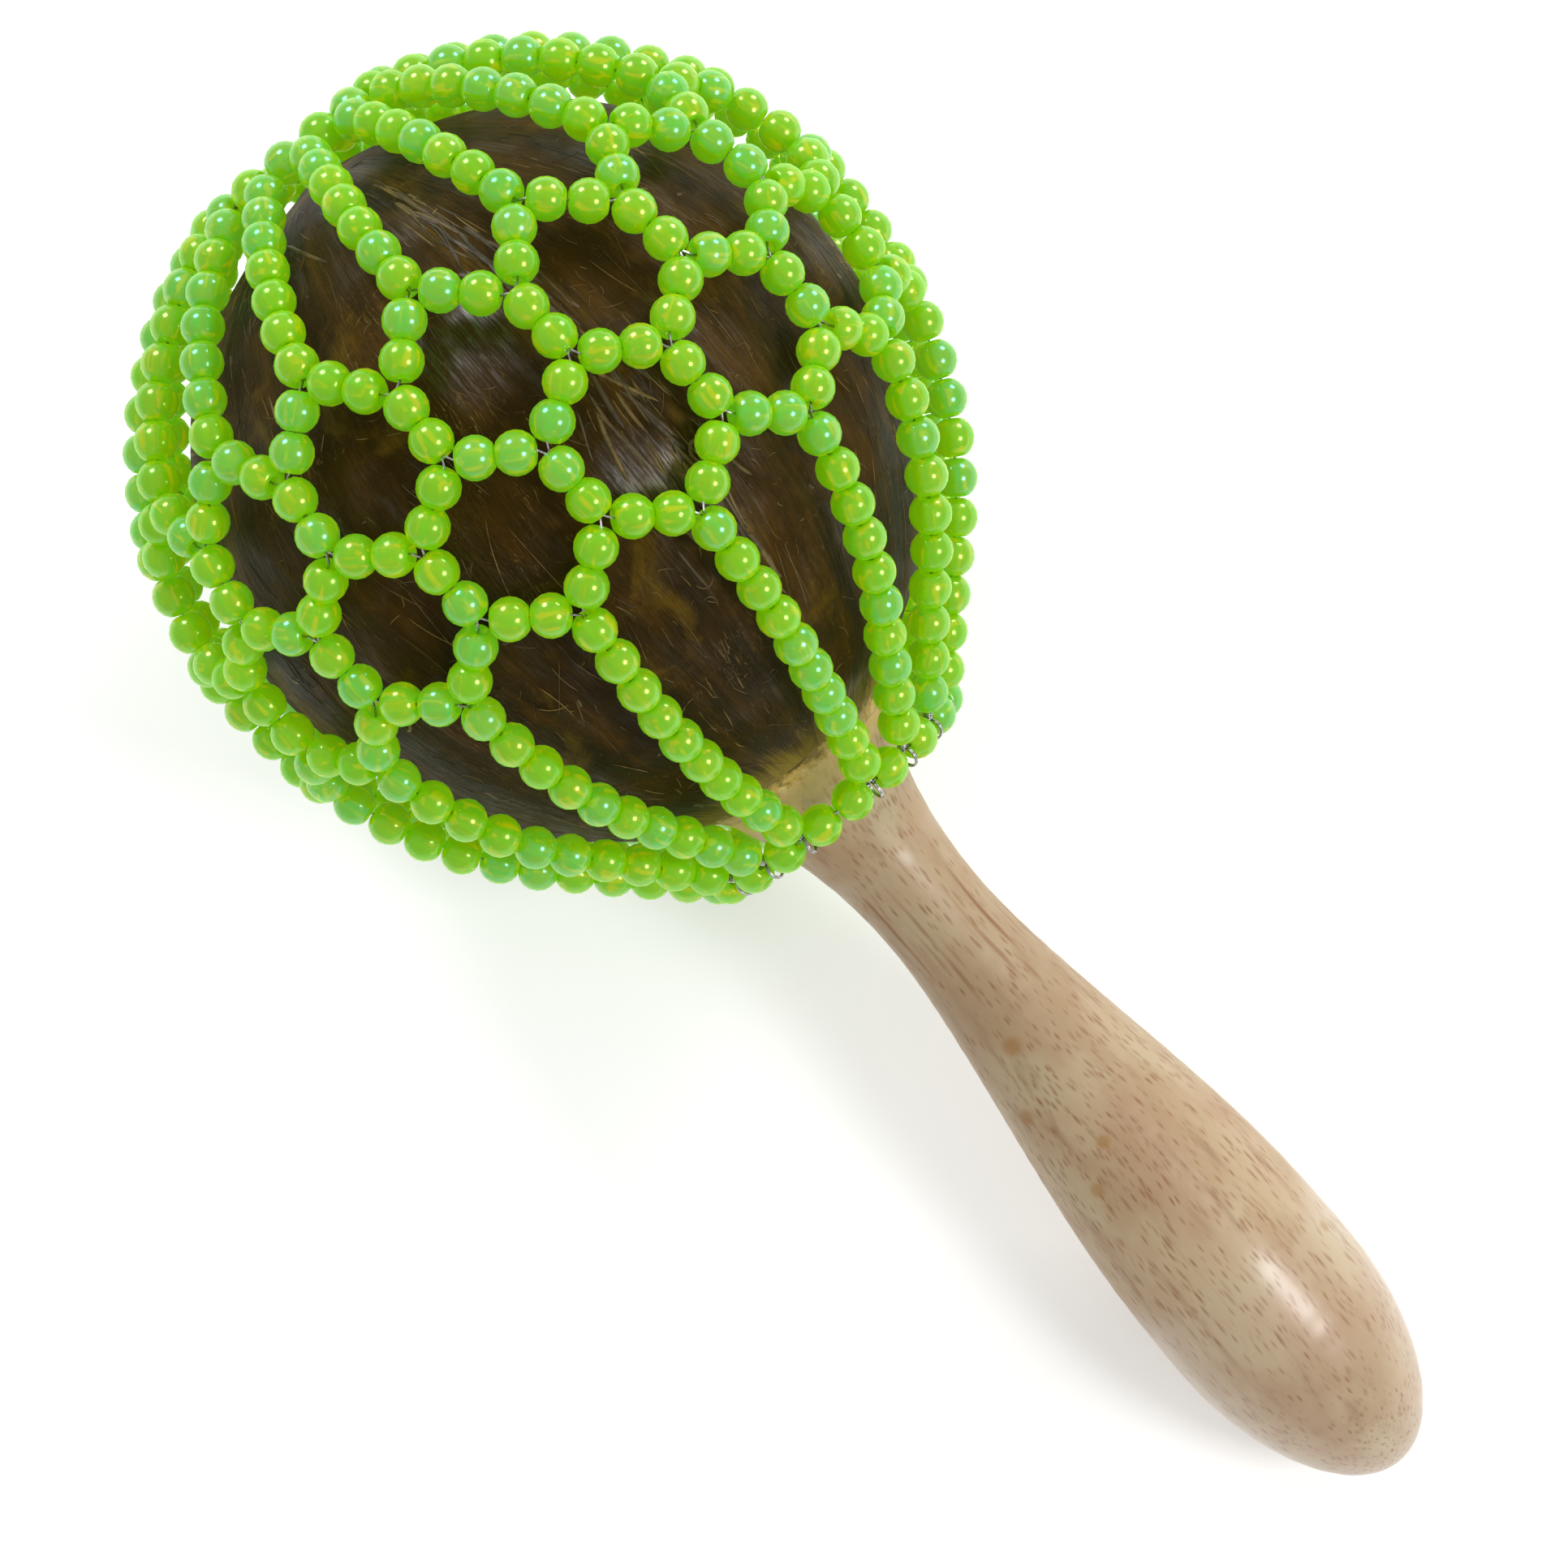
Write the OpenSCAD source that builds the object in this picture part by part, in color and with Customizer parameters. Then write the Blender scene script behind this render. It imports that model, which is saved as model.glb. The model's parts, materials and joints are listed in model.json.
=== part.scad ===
// A shekere: a hollow coconut shell on a turned wooden handle, wrapped in a
// loose net of round beads strung on steel wire. It lies on its side: the
// lowest beads and the end of the handle share one resting plane at z = 0,
// and +X runs from the crown of the shell to the end of the handle.
// Lengths are in millimetres and angles in degrees.

/* [Coconut shell] */
// Outside radius of the shell at its widest
shell_r = 51.2; // [48:0.1:53]
// Length from the widest ring of the shell to its crown
shell_crown_len = 50.5; // [46:0.1:56]
// Length from the widest ring of the shell to its handle end
shell_butt_len = 58; // [54:0.1:64]
// Thickness of the shell
shell_wall = 4; // [2.5:0.1:6]

/* [Handle] */
// Diameter of the flared rim that seats on the shell
rim_d = 30.6; // [26:0.1:33]
// Diameter of the neck, the narrowest place
neck_d = 16.4; // [13:0.1:20]
// Length from the rim to the neck
neck_len = 31.7; // [24:0.1:42]
// Diameter of the grip, the widest place
grip_d = 32.8; // [28:0.1:38]
// Length from the neck to the widest place of the grip
grip_len = 75; // [60:0.5:95]
// Length of the rounded end beyond the widest place
end_len = 33; // [22:0.5:40]
// Diameter of the round tenon that is glued into the shell
tenon_d = 18; // [12:0.1:22]
// Length of the tenon inside the outer face of the shell
tenon_len = 14; // [8:0.5:22]
// Radial room for glue round the tenon and under the rim
glue_room = 0.1; // [0.05:0.01:0.2]
// Width of the filler fillet on the shell round the rim
seam_w = 2.2; // [1:0.1:3]
// Height of the filler fillet on the flare
seam_h = 1.6; // [0.8:0.1:3]

/* [Beads] */
// Diameter of a bead across its bore
bead_d = 6; // [5.4:0.05:6.4]
// Length of a bead along its bore, between its two flat ends
bead_len = 5.25; // [4.8:0.05:5.4]
// Diameter of the bore of a bead
bore_d = 1.6; // [1.4:0.05:1.9]
// Room between the ends of two beads on one wire
bead_room = 0.17; // [0.16:0.01:0.3]
// Room between beads that meet where the net forks
fork_room = 0.12; // [0.08:0.01:0.3]

/* [Net] */
// Number of strands that leave the crown ring
columns = 16; // [12:4:20]
// Beads on each strand between the crown ring and the first fork
crown_count = 7; // [5:1:8]
// Room between the net and the shell where they rest on each other
seat_room = 0.4; // [0.35:0.01:0.8]
// Length that the net can slide towards the handle
slide_len = 2.5; // [0.5:0.1:4]
// Bulge of the slack net at the sides of the shell
side_slack = 1.5; // [0:0.1:2.5]
// Angle from the handle axis at which the strands leave the shell
leave_angle = 44; // [38:1:52]
// Turn of the crown ring against the columns of the net
crown_turn = 6; // [-10:1:10]
// Turn of the neck ring against the columns of the net
neck_turn = -4; // [-8:1:8]

/* [Rings and wires] */
// Diameter of the doubled steel wire that strings the net
wire_d = 0.3; // [0.2:0.01:0.34]
// Distance between the centres of two wires in one bore
wire_pair = 0.4; // [0.36:0.01:0.42]
// Diameter of the wire of the crown ring and of the neck ring
ring_wire_d = 0.56; // [0.4:0.01:0.6]
// Room between crown beads for the two wires of a strand
crown_room = 1; // [0.9:0.01:1.4]
// Groups of beads round the neck ring, each ending in a pair of beads
neck_groups = 4; // [2:2:4]
// Room on each side of a neck bead
neck_room = 0.45; // [0.4:0.01:0.6]
// Room between the last bead of a strand and the beads of the neck ring
strand_end_room = 0.3; // [0.2:0.01:0.6]
// Diameter of the wire that an eyelet is bent from
eyelet_wire_d = 0.36; // [0.3:0.01:0.4]
// Diameter of an eyelet's double loop, to the middle of its wire
eyelet_loop_d = 2.24; // [2.1:0.01:2.4]
// Distance between the two turns of an eyelet's loop
eyelet_turn = 0.34; // [0.26:0.01:0.35]
// Diameter of the wrap that binds a strand's wires, to the middle of its wire
wrap_d = 1.2; // [1.1:0.01:1.24]
// Distance from the neck ring to the middle of an eyelet's loop
loop_drop = 0.3; // [0:0.01:0.34]

/* [Hidden] */
bead_r = bead_d / 2;
bore_r = bore_d / 2;
wire_r = wire_d / 2;
ring_wire_r = ring_wire_d / 2;
eyelet_wire_r = eyelet_wire_d / 2;
rim_r = rim_d / 2;
neck_r = neck_d / 2;
grip_r = grip_d / 2;
tenon_r = tenon_d / 2;
hole_r = tenon_r + glue_room;
// Overrun of a cut past the face that it leaves
overrun = 1;
// Steepest dip that is tried when the instrument is laid down, and how often
// the search for the dip is halved
steepest_dip = 45;
dip_rounds = 24;
// Share of a drawn step by which the outline's steps stay clear of its ends
step_margin_share = 0.01;
// Facets of round shapes on screen, and steps of a drawn outline
bead_facets = 32;
wire_facets = 16;
round_facets = 96;
egg_steps = 60;
handle_steps = 24;
rest_steps = 96;
// Shape shares of the handle: how late the flare opens and the grip swells
flare_power_share = 2.2;
swell_power_share = 0.82;

// Outline of the shell. The angle runs from the crown (0) to the handle (180).
function half_len(angle, inset) = (angle < 90 ? shell_crown_len : shell_butt_len) - inset;
function egg(angle, inset = 0) =
    [(shell_r - inset) * sin(angle), -half_len(angle, inset) * cos(angle)];
function unit(v) = v / norm(v);
function egg_out(angle) =
    unit([egg(angle)[0] / shell_r ^ 2, egg(angle)[1] / half_len(angle, 0) ^ 2]);
function egg_lifted(angle, lift) = egg(angle) + egg_out(angle) * lift;
function egg_angle(radius, inset = 0) = 180 - asin(radius / (shell_r - inset));
// Angles between two angles, on the steps that the shell is drawn with
function egg_angles(from, to) =
    let (step = 180 / egg_steps,
         first = ceil(from / step + step_margin_share),
         last = floor(to / step - step_margin_share))
    concat([from], [for (a = [first : last]) a * step], [to]);

// Outline of the handle. Places along it are measured from the shell's widest ring.
rim_angle = egg_angle(rim_r);
rim_at = egg_lifted(rim_angle, glue_room);
neck_at = rim_at[1] + neck_len;
grip_at = neck_at + grip_len;
end_at = grip_at + end_len;
function flare(share) =
    [neck_r + (rim_at[0] - neck_r) * (1 - share) ^ flare_power_share, rim_at[1] + neck_len * share];
function swell(share) =
    [neck_r + (grip_r - neck_r) * (1 - cos(180 * share ^ swell_power_share)) / 2,
     neck_at + grip_len * share];
function grip_end(angle) = [grip_r * cos(angle), grip_at + end_len * sin(angle)];
tenon_at = egg(egg_angle(tenon_r))[1] - tenon_len;

// Middle surface of the net: a line of [along the axis, radius, normal] that
// follows the shell and then runs straight to the neck ring.
function net_lift(angle) =
    bead_r + seat_room + slide_len * max(0, -egg_out(angle)[1]);
function net_line_point(angle) =
    let (p = egg_lifted(angle, net_lift(angle)), n = egg_out(angle))
    [p[1], p[0], n[1], n[0]];
eyelet_w = eyelet_turn + eyelet_wire_d;
neck_beads = columns + neck_groups;
neck_ring_r = (columns * eyelet_w + neck_beads * bead_len + (columns + neck_beads) * neck_room)
    / (2 * PI);
crown_ring_r = columns * (bead_len + crown_room) / (2 * PI);
leave = net_line_point(180 - leave_angle);
run_len = (leave[1] - neck_ring_r) / leave[2];
neck_ring_at = leave[0] + run_len * leave[3];
net_line = concat(
    [for (i = [0 : rest_steps]) net_line_point(i * (180 - leave_angle) / rest_steps)],
    [[neck_ring_at, neck_ring_r, leave[2], leave[3]],
     [neck_ring_at + leave[3] * bead_d, neck_ring_r - leave[2] * bead_d, leave[2], leave[3]]]
);
function step_len(i) =
    norm([net_line[i + 1][0] - net_line[i][0], net_line[i + 1][1] - net_line[i][1]]);
net_len = [for (i = 0, s = 0; i < len(net_line); s = s + (i < len(net_line) - 1 ? step_len(i) : 0),
    i = i + 1) s];
function net_table(column) = [for (i = [0 : len(net_line) - 1]) [net_len[i], net_line[i][column]]];
along_table = net_table(0);
radius_table = net_table(1);
normal_along_table = net_table(2);
normal_radius_table = net_table(3);
widest = round(rest_steps * 90 / (180 - leave_angle));
crown_s = lookup(crown_ring_r, [for (i = [0 : widest]) [net_line[i][1], net_len[i]]]);
crown_ring_at = lookup(crown_s, along_table);
neck_s = net_len[len(net_line) - 2];

// A place on the net from its distance along the line from the crown, and its
// angle round the axis from the top
function slack(s, lon) =
    let (t = lookup(s, along_table), whole = t < 0 ? crown_ring_at : neck_ring_at)
    side_slack * sin(lon) ^ 2 * max(0, 1 - (t / whole) ^ 2);
function round_axis(along, radius, lon) = [-radius * cos(lon), radius * sin(lon), along];
function out_dir(s, lon) =
    unit(round_axis(lookup(s, normal_along_table), lookup(s, normal_radius_table), lon));
function side_dir(lon) = [sin(lon), cos(lon), 0];
function spot(s, lon, lift = 0) =
    round_axis(lookup(s, along_table), lookup(s, radius_table), lon)
    + out_dir(s, lon) * (slack(s, lon) + lift);

// Rows of the net, from the crown down. A fork is where one wire pair parts.
pitch = bead_len + bead_room;
column_angle = 360 / columns;
fork_side = bead_r + fork_room / 2;
fork_len = sqrt((bead_d + fork_room) ^ 2 - fork_side ^ 2);
crown_lead = sqrt((bead_d + fork_room) ^ 2 - ((bead_len + crown_room) / 2) ^ 2);
function column_arc(s) = lookup(s, radius_table) * column_angle / 2 * PI / 180;
function half_side(s) = min(column_arc(s) / 2 - fork_side, pitch / 2);
function half_rise(s) = sqrt((pitch / 2) ^ 2 - half_side(s) ^ 2);
crown_first_s = crown_s + crown_lead;
crown_last_s = crown_first_s + (crown_count - 1) * pitch;
upper_fork_s = crown_last_s + fork_len;
upper_join_s = upper_fork_s + 2 * half_rise(upper_fork_s + bead_r / 2);
upper_link_s = upper_join_s + fork_len;
middle_fork_s = upper_link_s + pitch + fork_len;
middle_join_s = middle_fork_s + 2 * half_rise(middle_fork_s + bead_r / 2);
lower_link_s = middle_join_s + fork_len;
lower_fork_s = lower_link_s + pitch + fork_len;
lower_join_s = lower_fork_s + 2 * half_rise(lower_fork_s + bead_r / 2);
neck_first_s = lower_join_s + fork_len;

// Round the rings
neck_single = (eyelet_w + bead_len + 2 * neck_room) / neck_ring_r * 180 / PI;
neck_pair = (bead_len + neck_room) / neck_ring_r * 180 / PI;
group_angle = 360 / neck_groups;
group_columns = columns / neck_groups;
first_eyelet = (group_angle - (group_columns - 1) * neck_single) / 2;
function eyelet_lon(k) =
    floor(k / group_columns) * group_angle + first_eyelet
    + (k % group_columns) * neck_single + neck_turn;
wrap_start = eyelet_loop_d / 2 - loop_drop;
eyelet_side = (eyelet_w + bead_len) / 2 + neck_room;
eyelet_reach = sqrt((bead_d + strand_end_room) ^ 2 - eyelet_side ^ 2);
wrap_turns = floor((eyelet_reach - wrap_start - bead_len / 2) / eyelet_turn);
wrap_len = wrap_turns * eyelet_turn;
neck_run = neck_s - eyelet_reach - neck_first_s;
neck_count = floor(neck_run / pitch) + 1;
neck_pitch = neck_run / (neck_count - 1);

// Beads as [centre, direction of the bore]
function crown_lon(k, s) =
    k * column_angle + crown_turn * (max(0, crown_last_s - s) / (crown_last_s - crown_s)) ^ 2;
function neck_lon(k, s) =
    let (share = max(0, s - neck_first_s) / (neck_s - neck_first_s))
    (k + 0.5) * column_angle * (1 - share) + eyelet_lon(k) * share;
function crown_spot(k, s) = spot(s, crown_lon(k, s));
function neck_spot(k, s) = spot(s, neck_lon(k, s));
function crown_strand_beads(k) =
    [for (i = [0 : crown_count - 1])
        let (s = crown_first_s + i * pitch)
        [crown_spot(k, s), unit(crown_spot(k, s + bead_r) - crown_spot(k, s - bead_r))]];
function neck_strand_beads(k) =
    [for (i = [0 : neck_count - 1])
        let (s = neck_first_s + i * neck_pitch)
        [neck_spot(k, s), unit(neck_spot(k, s + bead_r) - neck_spot(k, s - bead_r))]];
function bead_pair(a, b) = [[a, unit(b - a)], [b, unit(b - a)]];
// The pair of beads from one column to the next half column on a side
function diagonal(column, side, fork, join) =
    let (mid = (fork + join) / 2,
         centre = (column + side / 4) * column_angle,
         reach = side * half_side(mid) / lookup(mid, radius_table) * 180 / PI)
    bead_pair(spot(fork, centre - reach), spot(join, centre + reach));
function link(column, s) =
    bead_pair(spot(s, column * column_angle), spot(s + pitch, column * column_angle));
function flat(lists) = [for (l = lists) for (e = l) e];
function diagonals(first, fork, join) =
    flat([for (k = [0 : columns - 1]) for (side = [-1, 1]) diagonal(k + first, side, fork, join)]);
function links(first, s) = flat([for (k = [0 : columns - 1]) link(k + first, s)]);
function ring_bead(radius, along, lon) = [round_axis(along, radius, lon), side_dir(lon)];
crown_ring = [for (k = [0 : columns - 1])
    ring_bead(crown_ring_r, crown_ring_at, (k + 0.5) * column_angle + crown_turn)];
neck_ring = flat([for (g = [0 : neck_groups - 1]) concat(
    [for (j = [0 : group_columns - 2]) ring_bead(neck_ring_r, neck_ring_at,
        eyelet_lon(g * group_columns + j) + neck_single / 2)],
    [for (side = [-1, 1]) ring_bead(neck_ring_r, neck_ring_at,
        g * group_angle + neck_turn + side * neck_pair / 2)])]);
upper_diagonal_beads = diagonals(0, upper_fork_s, upper_join_s);
upper_link_beads = links(0.5, upper_link_s);
middle_diagonal_beads = diagonals(0.5, middle_fork_s, middle_join_s);
lower_link_beads = links(0, lower_link_s);
lower_diagonal_beads = diagonals(0, lower_fork_s, lower_join_s);
net_beads = concat(
    crown_ring,
    flat([for (k = [0 : columns - 1]) crown_strand_beads(k)]),
    upper_diagonal_beads,
    upper_link_beads,
    middle_diagonal_beads,
    lower_link_beads,
    lower_diagonal_beads,
    flat([for (k = [0 : columns - 1]) neck_strand_beads(k)]),
    neck_ring
);

// How the instrument lies: the dip of its axis, at which the lowest beads and
// the rounded end of the handle touch one plane
function head_depth(dip) =
    bead_r + max([for (b = net_beads) b[0].x * cos(dip) + b[0].z * sin(dip)]);
function grip_depth(dip) =
    grip_at * sin(dip) + sqrt((grip_r * cos(dip)) ^ 2 + (end_len * sin(dip)) ^ 2);
function find_dip(low, high, rounds) =
    rounds == 0 ? (low + high) / 2
    : head_depth((low + high) / 2) > grip_depth((low + high) / 2)
        ? find_dip((low + high) / 2, high, rounds - 1)
        : find_dip(low, (low + high) / 2, rounds - 1);
dip = find_dip(0, steepest_dip, dip_rounds);
near_x = -bead_r + min([for (b = net_beads) b[0].z * cos(dip) - b[0].x * sin(dip)]);
far_x = grip_at * cos(dip) + sqrt((end_len * cos(dip)) ^ 2 + (grip_r * sin(dip)) ^ 2);
shell_place = [-(near_x + far_x) / 2, 0, head_depth(dip)];

// Wires of the net as lines of points. Each wire leaves the crown ring in one
// column, goes to one side at every fork and comes back at the next.
half_bead = bead_len / 2;
hook_r = ring_wire_r + wire_d;
hook_angles = [-80, -140, 160, 100, 50];
function beside(p, lon, side) = p + side_dir(lon) * side * wire_pair / 2;
function along_dir(s, lon) = cross(side_dir(lon), out_dir(s, lon));
function hook(k, side) =
    let (lon = crown_lon(k, crown_s), c = spot(crown_s, lon))
    [for (a = hook_angles) beside(c + hook_r * (cos(a) * along_dir(crown_s, lon)
        + sin(a) * out_dir(crown_s, lon)), lon, side)];
function ends_of(pair, column, side) =
    [beside(pair[0][0] - pair[0][1] * half_bead, column * column_angle, side),
     beside(pair[1][0] + pair[1][1] * half_bead, column * column_angle, side)];
// The line through a strand: in at its first bead, through the middles, and out
function through(beads, lon, side) =
    let (last = len(beads) - 1)
    [for (i = [0 : last])
        let (shift = i == 0 ? -half_bead : i == last ? half_bead : 0)
        beside(beads[i][0] + beads[i][1] * shift, lon, side)];
function net_wire(k, side) =
    let (inner = k + side / 2,
         neck_k = (side > 0 ? k : k + columns - 1) % columns,
         end_s = neck_s - wrap_start - wrap_len / 2)
    concat(
        hook(k, side),
        through(crown_strand_beads(k), k * column_angle, side),
        ends_of(diagonal(k, side, upper_fork_s, upper_join_s), k, 0),
        ends_of(link(inner, upper_link_s), inner, -side),
        ends_of(diagonal(inner, -side, middle_fork_s, middle_join_s), inner, 0),
        ends_of(link(k, lower_link_s), k, side),
        ends_of(diagonal(k, side, lower_fork_s, lower_join_s), k, 0),
        through(neck_strand_beads(neck_k), inner * column_angle, -side),
        [beside(neck_spot(neck_k, end_s), neck_lon(neck_k, end_s), -side)]
    );
// Corner distance of a square wire that has the section of a round one
wire_corner = wire_r * sqrt(PI / 2);
wire_sides = 4;
function wire_ring(points, i) =
    let (last = len(points) - 1,
         d = unit(points[min(i + 1, last)] - points[max(i - 1, 0)]),
         lon = atan2(points[i].y, -points[i].x),
         e = side_dir(lon),
         u = unit(e - d * (e * d)),
         v = cross(d, u))
    [for (j = [0 : wire_sides - 1])
        points[i] + wire_corner * (cos(360 / wire_sides * (j + 0.5)) * u
            + sin(360 / wire_sides * (j + 0.5)) * v)];

function strand_name(stem, k) = str(stem, k < 9 ? "0" : "", k + 1);

// Lays the instrument down from its own frame, in which its axis is Z
module lay() {
    translate(shell_place)
        rotate([0, 90 + dip, 0])
            children();
}

module set_at(centre, x, y, z) {
    multmatrix([
        [x[0], y[0], z[0], centre[0]],
        [x[1], y[1], z[1], centre[1]],
        [x[2], y[2], z[2], centre[2]]
    ])
        children();
}

module bead() {
    difference() {
        intersection() {
            sphere(r = bead_r, $fn = bead_facets);
            cube([bead_d + overrun, bead_d + overrun, bead_len], center = true);
        }
        cylinder(h = bead_d + overrun, r = bore_r, center = true, $fn = bead_facets);
    }
}

module beads(places) {
    color("lawngreen")
        lay()
            for (b = places)
                translate(b[0])
                    rotate([0, acos(b[1].z), atan2(b[1].y, b[1].x)])
                        bead();
}

module ring_wire(radius, along) {
    color("silver")
        lay()
            translate([0, 0, along])
                rotate_extrude($fn = round_facets)
                    translate([radius, 0])
                        circle(r = ring_wire_r, $fn = wire_facets);
}

// One turn beside another, revolved together: a loop or a wrap of wire
module turns(radius, count) {
    rotate_extrude($fn = bead_facets)
        for (i = [0 : count - 1])
            translate([radius, (i - (count - 1) / 2) * eyelet_turn])
                circle(r = eyelet_wire_r, $fn = wire_facets);
}

// An eyelet in its own frame: the neck ring runs along X through the origin,
// and the strand comes from -Z
module eyelet() {
    translate([0, 0, loop_drop])
        rotate([0, 90, 0])
            turns(eyelet_loop_d / 2, 2);
    translate([0, 0, -wrap_start - (wrap_turns - 1) / 2 * eyelet_turn])
        turns(wrap_d / 2, wrap_turns);
}

module wire(points) {
    last = len(points) - 1;
    rings = flat([for (i = [0 : last]) wire_ring(points, i)]);
    walls = [for (i = [0 : last - 1]) for (j = [0 : wire_sides - 1])
        let (a = i * wire_sides + j, b = i * wire_sides + (j + 1) % wire_sides)
        [a + wire_sides, b + wire_sides, b, a]];
    first_end = [for (j = [0 : wire_sides - 1]) j];
    last_end = [for (j = [wire_sides - 1 : -1 : 0]) last * wire_sides + j];
    polyhedron(points = rings, faces = concat(walls, [first_end, last_end]));
}

module net_wires(side) {
    color("silver")
        lay()
            for (k = [0 : columns - 1])
                wire(net_wire(k, side));
}

module coconut_shell() {
    outer = [for (a = egg_angles(0, egg_angle(hole_r))) egg(a)];
    inner = [for (a = egg_angles(0, egg_angle(hole_r, shell_wall))) egg(a, shell_wall)];
    color([0.2, 0.12, 0.07])
        lay()
            rotate_extrude($fn = round_facets)
                polygon(concat(outer, [for (i = [len(inner) - 1 : -1 : 0]) inner[i]]));
}

module handle() {
    seat = [for (a = egg_angles(rim_angle, egg_angle(tenon_r))) egg_lifted(a, glue_room)];
    tenon_foot = [tenon_r, seat[len(seat) - 1][1]];
    color([0.85, 0.7, 0.5])
        lay()
            rotate_extrude($fn = round_facets)
                polygon(concat(
                    [[0, tenon_at], [tenon_r, tenon_at], tenon_foot],
                    [for (i = [len(seat) - 2 : -1 : 0]) seat[i]],
                    [for (i = [1 : handle_steps]) flare(i / handle_steps)],
                    [for (i = [1 : handle_steps]) swell(i / handle_steps)],
                    [for (i = [1 : handle_steps]) grip_end(90 * i / handle_steps)]
                ));
}

// Filler that fairs the rim of the handle into the shell
module neck_seam() {
    foot_angle = egg_angle(rim_r + seam_w);
    foot = [for (a = egg_angles(foot_angle, rim_angle)) egg_lifted(a, glue_room)];
    top = flare(seam_h / neck_len) + [glue_room, 0];
    color([0.55, 0.4, 0.18])
        lay()
            rotate_extrude($fn = round_facets)
                polygon(concat(
                    [for (i = [0 : len(foot) - 2]) foot[i]],
                    [foot[len(foot) - 1] + [glue_room, 0], top]
                ));
}

module wire_eyelets() {
    color("silver")
        lay()
            for (k = [0 : columns - 1]) {
                lon = eyelet_lon(k);
                set_at(spot(neck_s, lon), side_dir(lon), out_dir(neck_s, lon), along_dir(neck_s, lon))
                    eyelet();
            }
}

coconut_shell();
handle();
neck_seam();
beads(crown_ring);  // crown_ring_beads
ring_wire(crown_ring_r, crown_ring_at);  // crown_ring_wire
for (k = [0 : columns - 1])
    beads(crown_strand_beads(k));
beads(upper_diagonal_beads);
beads(upper_link_beads);
beads(middle_diagonal_beads);
beads(lower_link_beads);
beads(lower_diagonal_beads);
for (k = [0 : columns - 1])
    beads(neck_strand_beads(k));
beads(neck_ring);  // neck_ring_beads
ring_wire(neck_ring_r, neck_ring_at);  // neck_ring_wire
wire_eyelets();
net_wires(-1);  // left_net_wires
net_wires(1);  // right_net_wires
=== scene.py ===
"""A shekere on a pale floor: a dark coconut shell on a turned wooden handle,
inside a loose net of translucent neon-green beads strung on steel wire.

Lengths are in metres. The instrument's own frame has its origin in the middle
of the shell's widest ring, X along the axis from the crown to the end of the
handle, Y sideways and Z up; a longitude of 0 faces up and grows towards Y.
"""
import json
import math

import bpy
import numpy as np
from mathutils import Matrix, Vector


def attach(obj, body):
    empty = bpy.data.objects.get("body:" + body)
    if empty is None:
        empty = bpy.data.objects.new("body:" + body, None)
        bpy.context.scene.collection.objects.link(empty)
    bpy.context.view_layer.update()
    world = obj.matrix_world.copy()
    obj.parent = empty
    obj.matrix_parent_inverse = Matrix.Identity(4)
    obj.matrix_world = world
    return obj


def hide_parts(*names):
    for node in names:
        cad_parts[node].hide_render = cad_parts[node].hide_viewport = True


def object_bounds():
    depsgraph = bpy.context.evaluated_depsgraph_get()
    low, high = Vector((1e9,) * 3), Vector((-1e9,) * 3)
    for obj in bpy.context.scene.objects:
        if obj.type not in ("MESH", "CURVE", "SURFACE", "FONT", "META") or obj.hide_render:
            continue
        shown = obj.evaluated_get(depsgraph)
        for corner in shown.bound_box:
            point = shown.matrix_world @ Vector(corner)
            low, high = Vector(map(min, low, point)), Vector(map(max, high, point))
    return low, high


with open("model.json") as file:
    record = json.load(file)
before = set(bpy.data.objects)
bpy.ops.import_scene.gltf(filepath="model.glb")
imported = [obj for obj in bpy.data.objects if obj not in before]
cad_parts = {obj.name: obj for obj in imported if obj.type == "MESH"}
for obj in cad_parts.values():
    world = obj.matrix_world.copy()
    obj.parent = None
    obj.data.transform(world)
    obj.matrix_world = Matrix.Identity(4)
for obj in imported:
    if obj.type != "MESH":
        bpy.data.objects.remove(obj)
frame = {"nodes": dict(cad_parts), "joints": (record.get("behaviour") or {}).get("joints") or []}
cad_low, cad_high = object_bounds()

MM = 0.001
TURN = 2 * math.pi

# The instrument's frame, read from the joint that lets the net turn
spin = next(joint for joint in frame["joints"] if joint["name"] == "net_spin")
HEAD = np.array(spin["pos_m"])
AXIS = np.array(spin["axis"]) / np.linalg.norm(spin["axis"])
SIDE = np.array([0.0, 1.0, 0.0])
UP = np.cross(AXIS, SIDE)
DIP = math.asin(-AXIS[2])

NECK_STRANDS = sorted(name for name in frame["nodes"] if name.startswith("neck_strand_"))
BEAD_NODES = sorted(
    name for name in frame["nodes"]
    if name.endswith("_beads") or name.startswith(("crown_strand_", "neck_strand_"))
)
WIRE_NODES = ("crown_ring_wire", "neck_ring_wire", "left_net_wires", "right_net_wires")

# Camera, in millimetres as it stood over the instrument
CAMERA_PLACE_MM = (50.6, -3.1, 623.3)
CAMERA_AIM_MM = (-9.2, -4.6, 41.3)
CAMERA_UP = (-0.7583, 0.6474, 0.0764)
CAMERA_LENS_MM = 92.8
SENSOR_MM = 36.0

# Softboxes as seen in the picture: right, up and towards the camera, then power
SOFTBOXES = (
    ("left_softbox", (-0.48, 0.75, 0.46), 4.6),
    ("right_softbox", (0.45, 0.84, 0.30), 3.9),
    ("near_softbox", (0.63, -0.11, 0.77), 4.6),
)
BOX_SIZE = 0.29
BOX_DISTANCE = 1.1
WORLD_STRENGTH = 0.56
# The floor is a light table, lit a little from below
FLOOR_REACH = 4.0
FLOOR_GLOW = 0.28

# Coconut shell
SHELL_WALL = 4 * MM
SHELL_ROWS = 300
SHELL_COLUMNS = 240
WALL_ROWS = 50
# The hole is looked for beyond this share of the way to the handle, its edge within a little of it
HOLE_SEARCH = 0.6
HOLE_SLACK = 0.2 * MM
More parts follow.
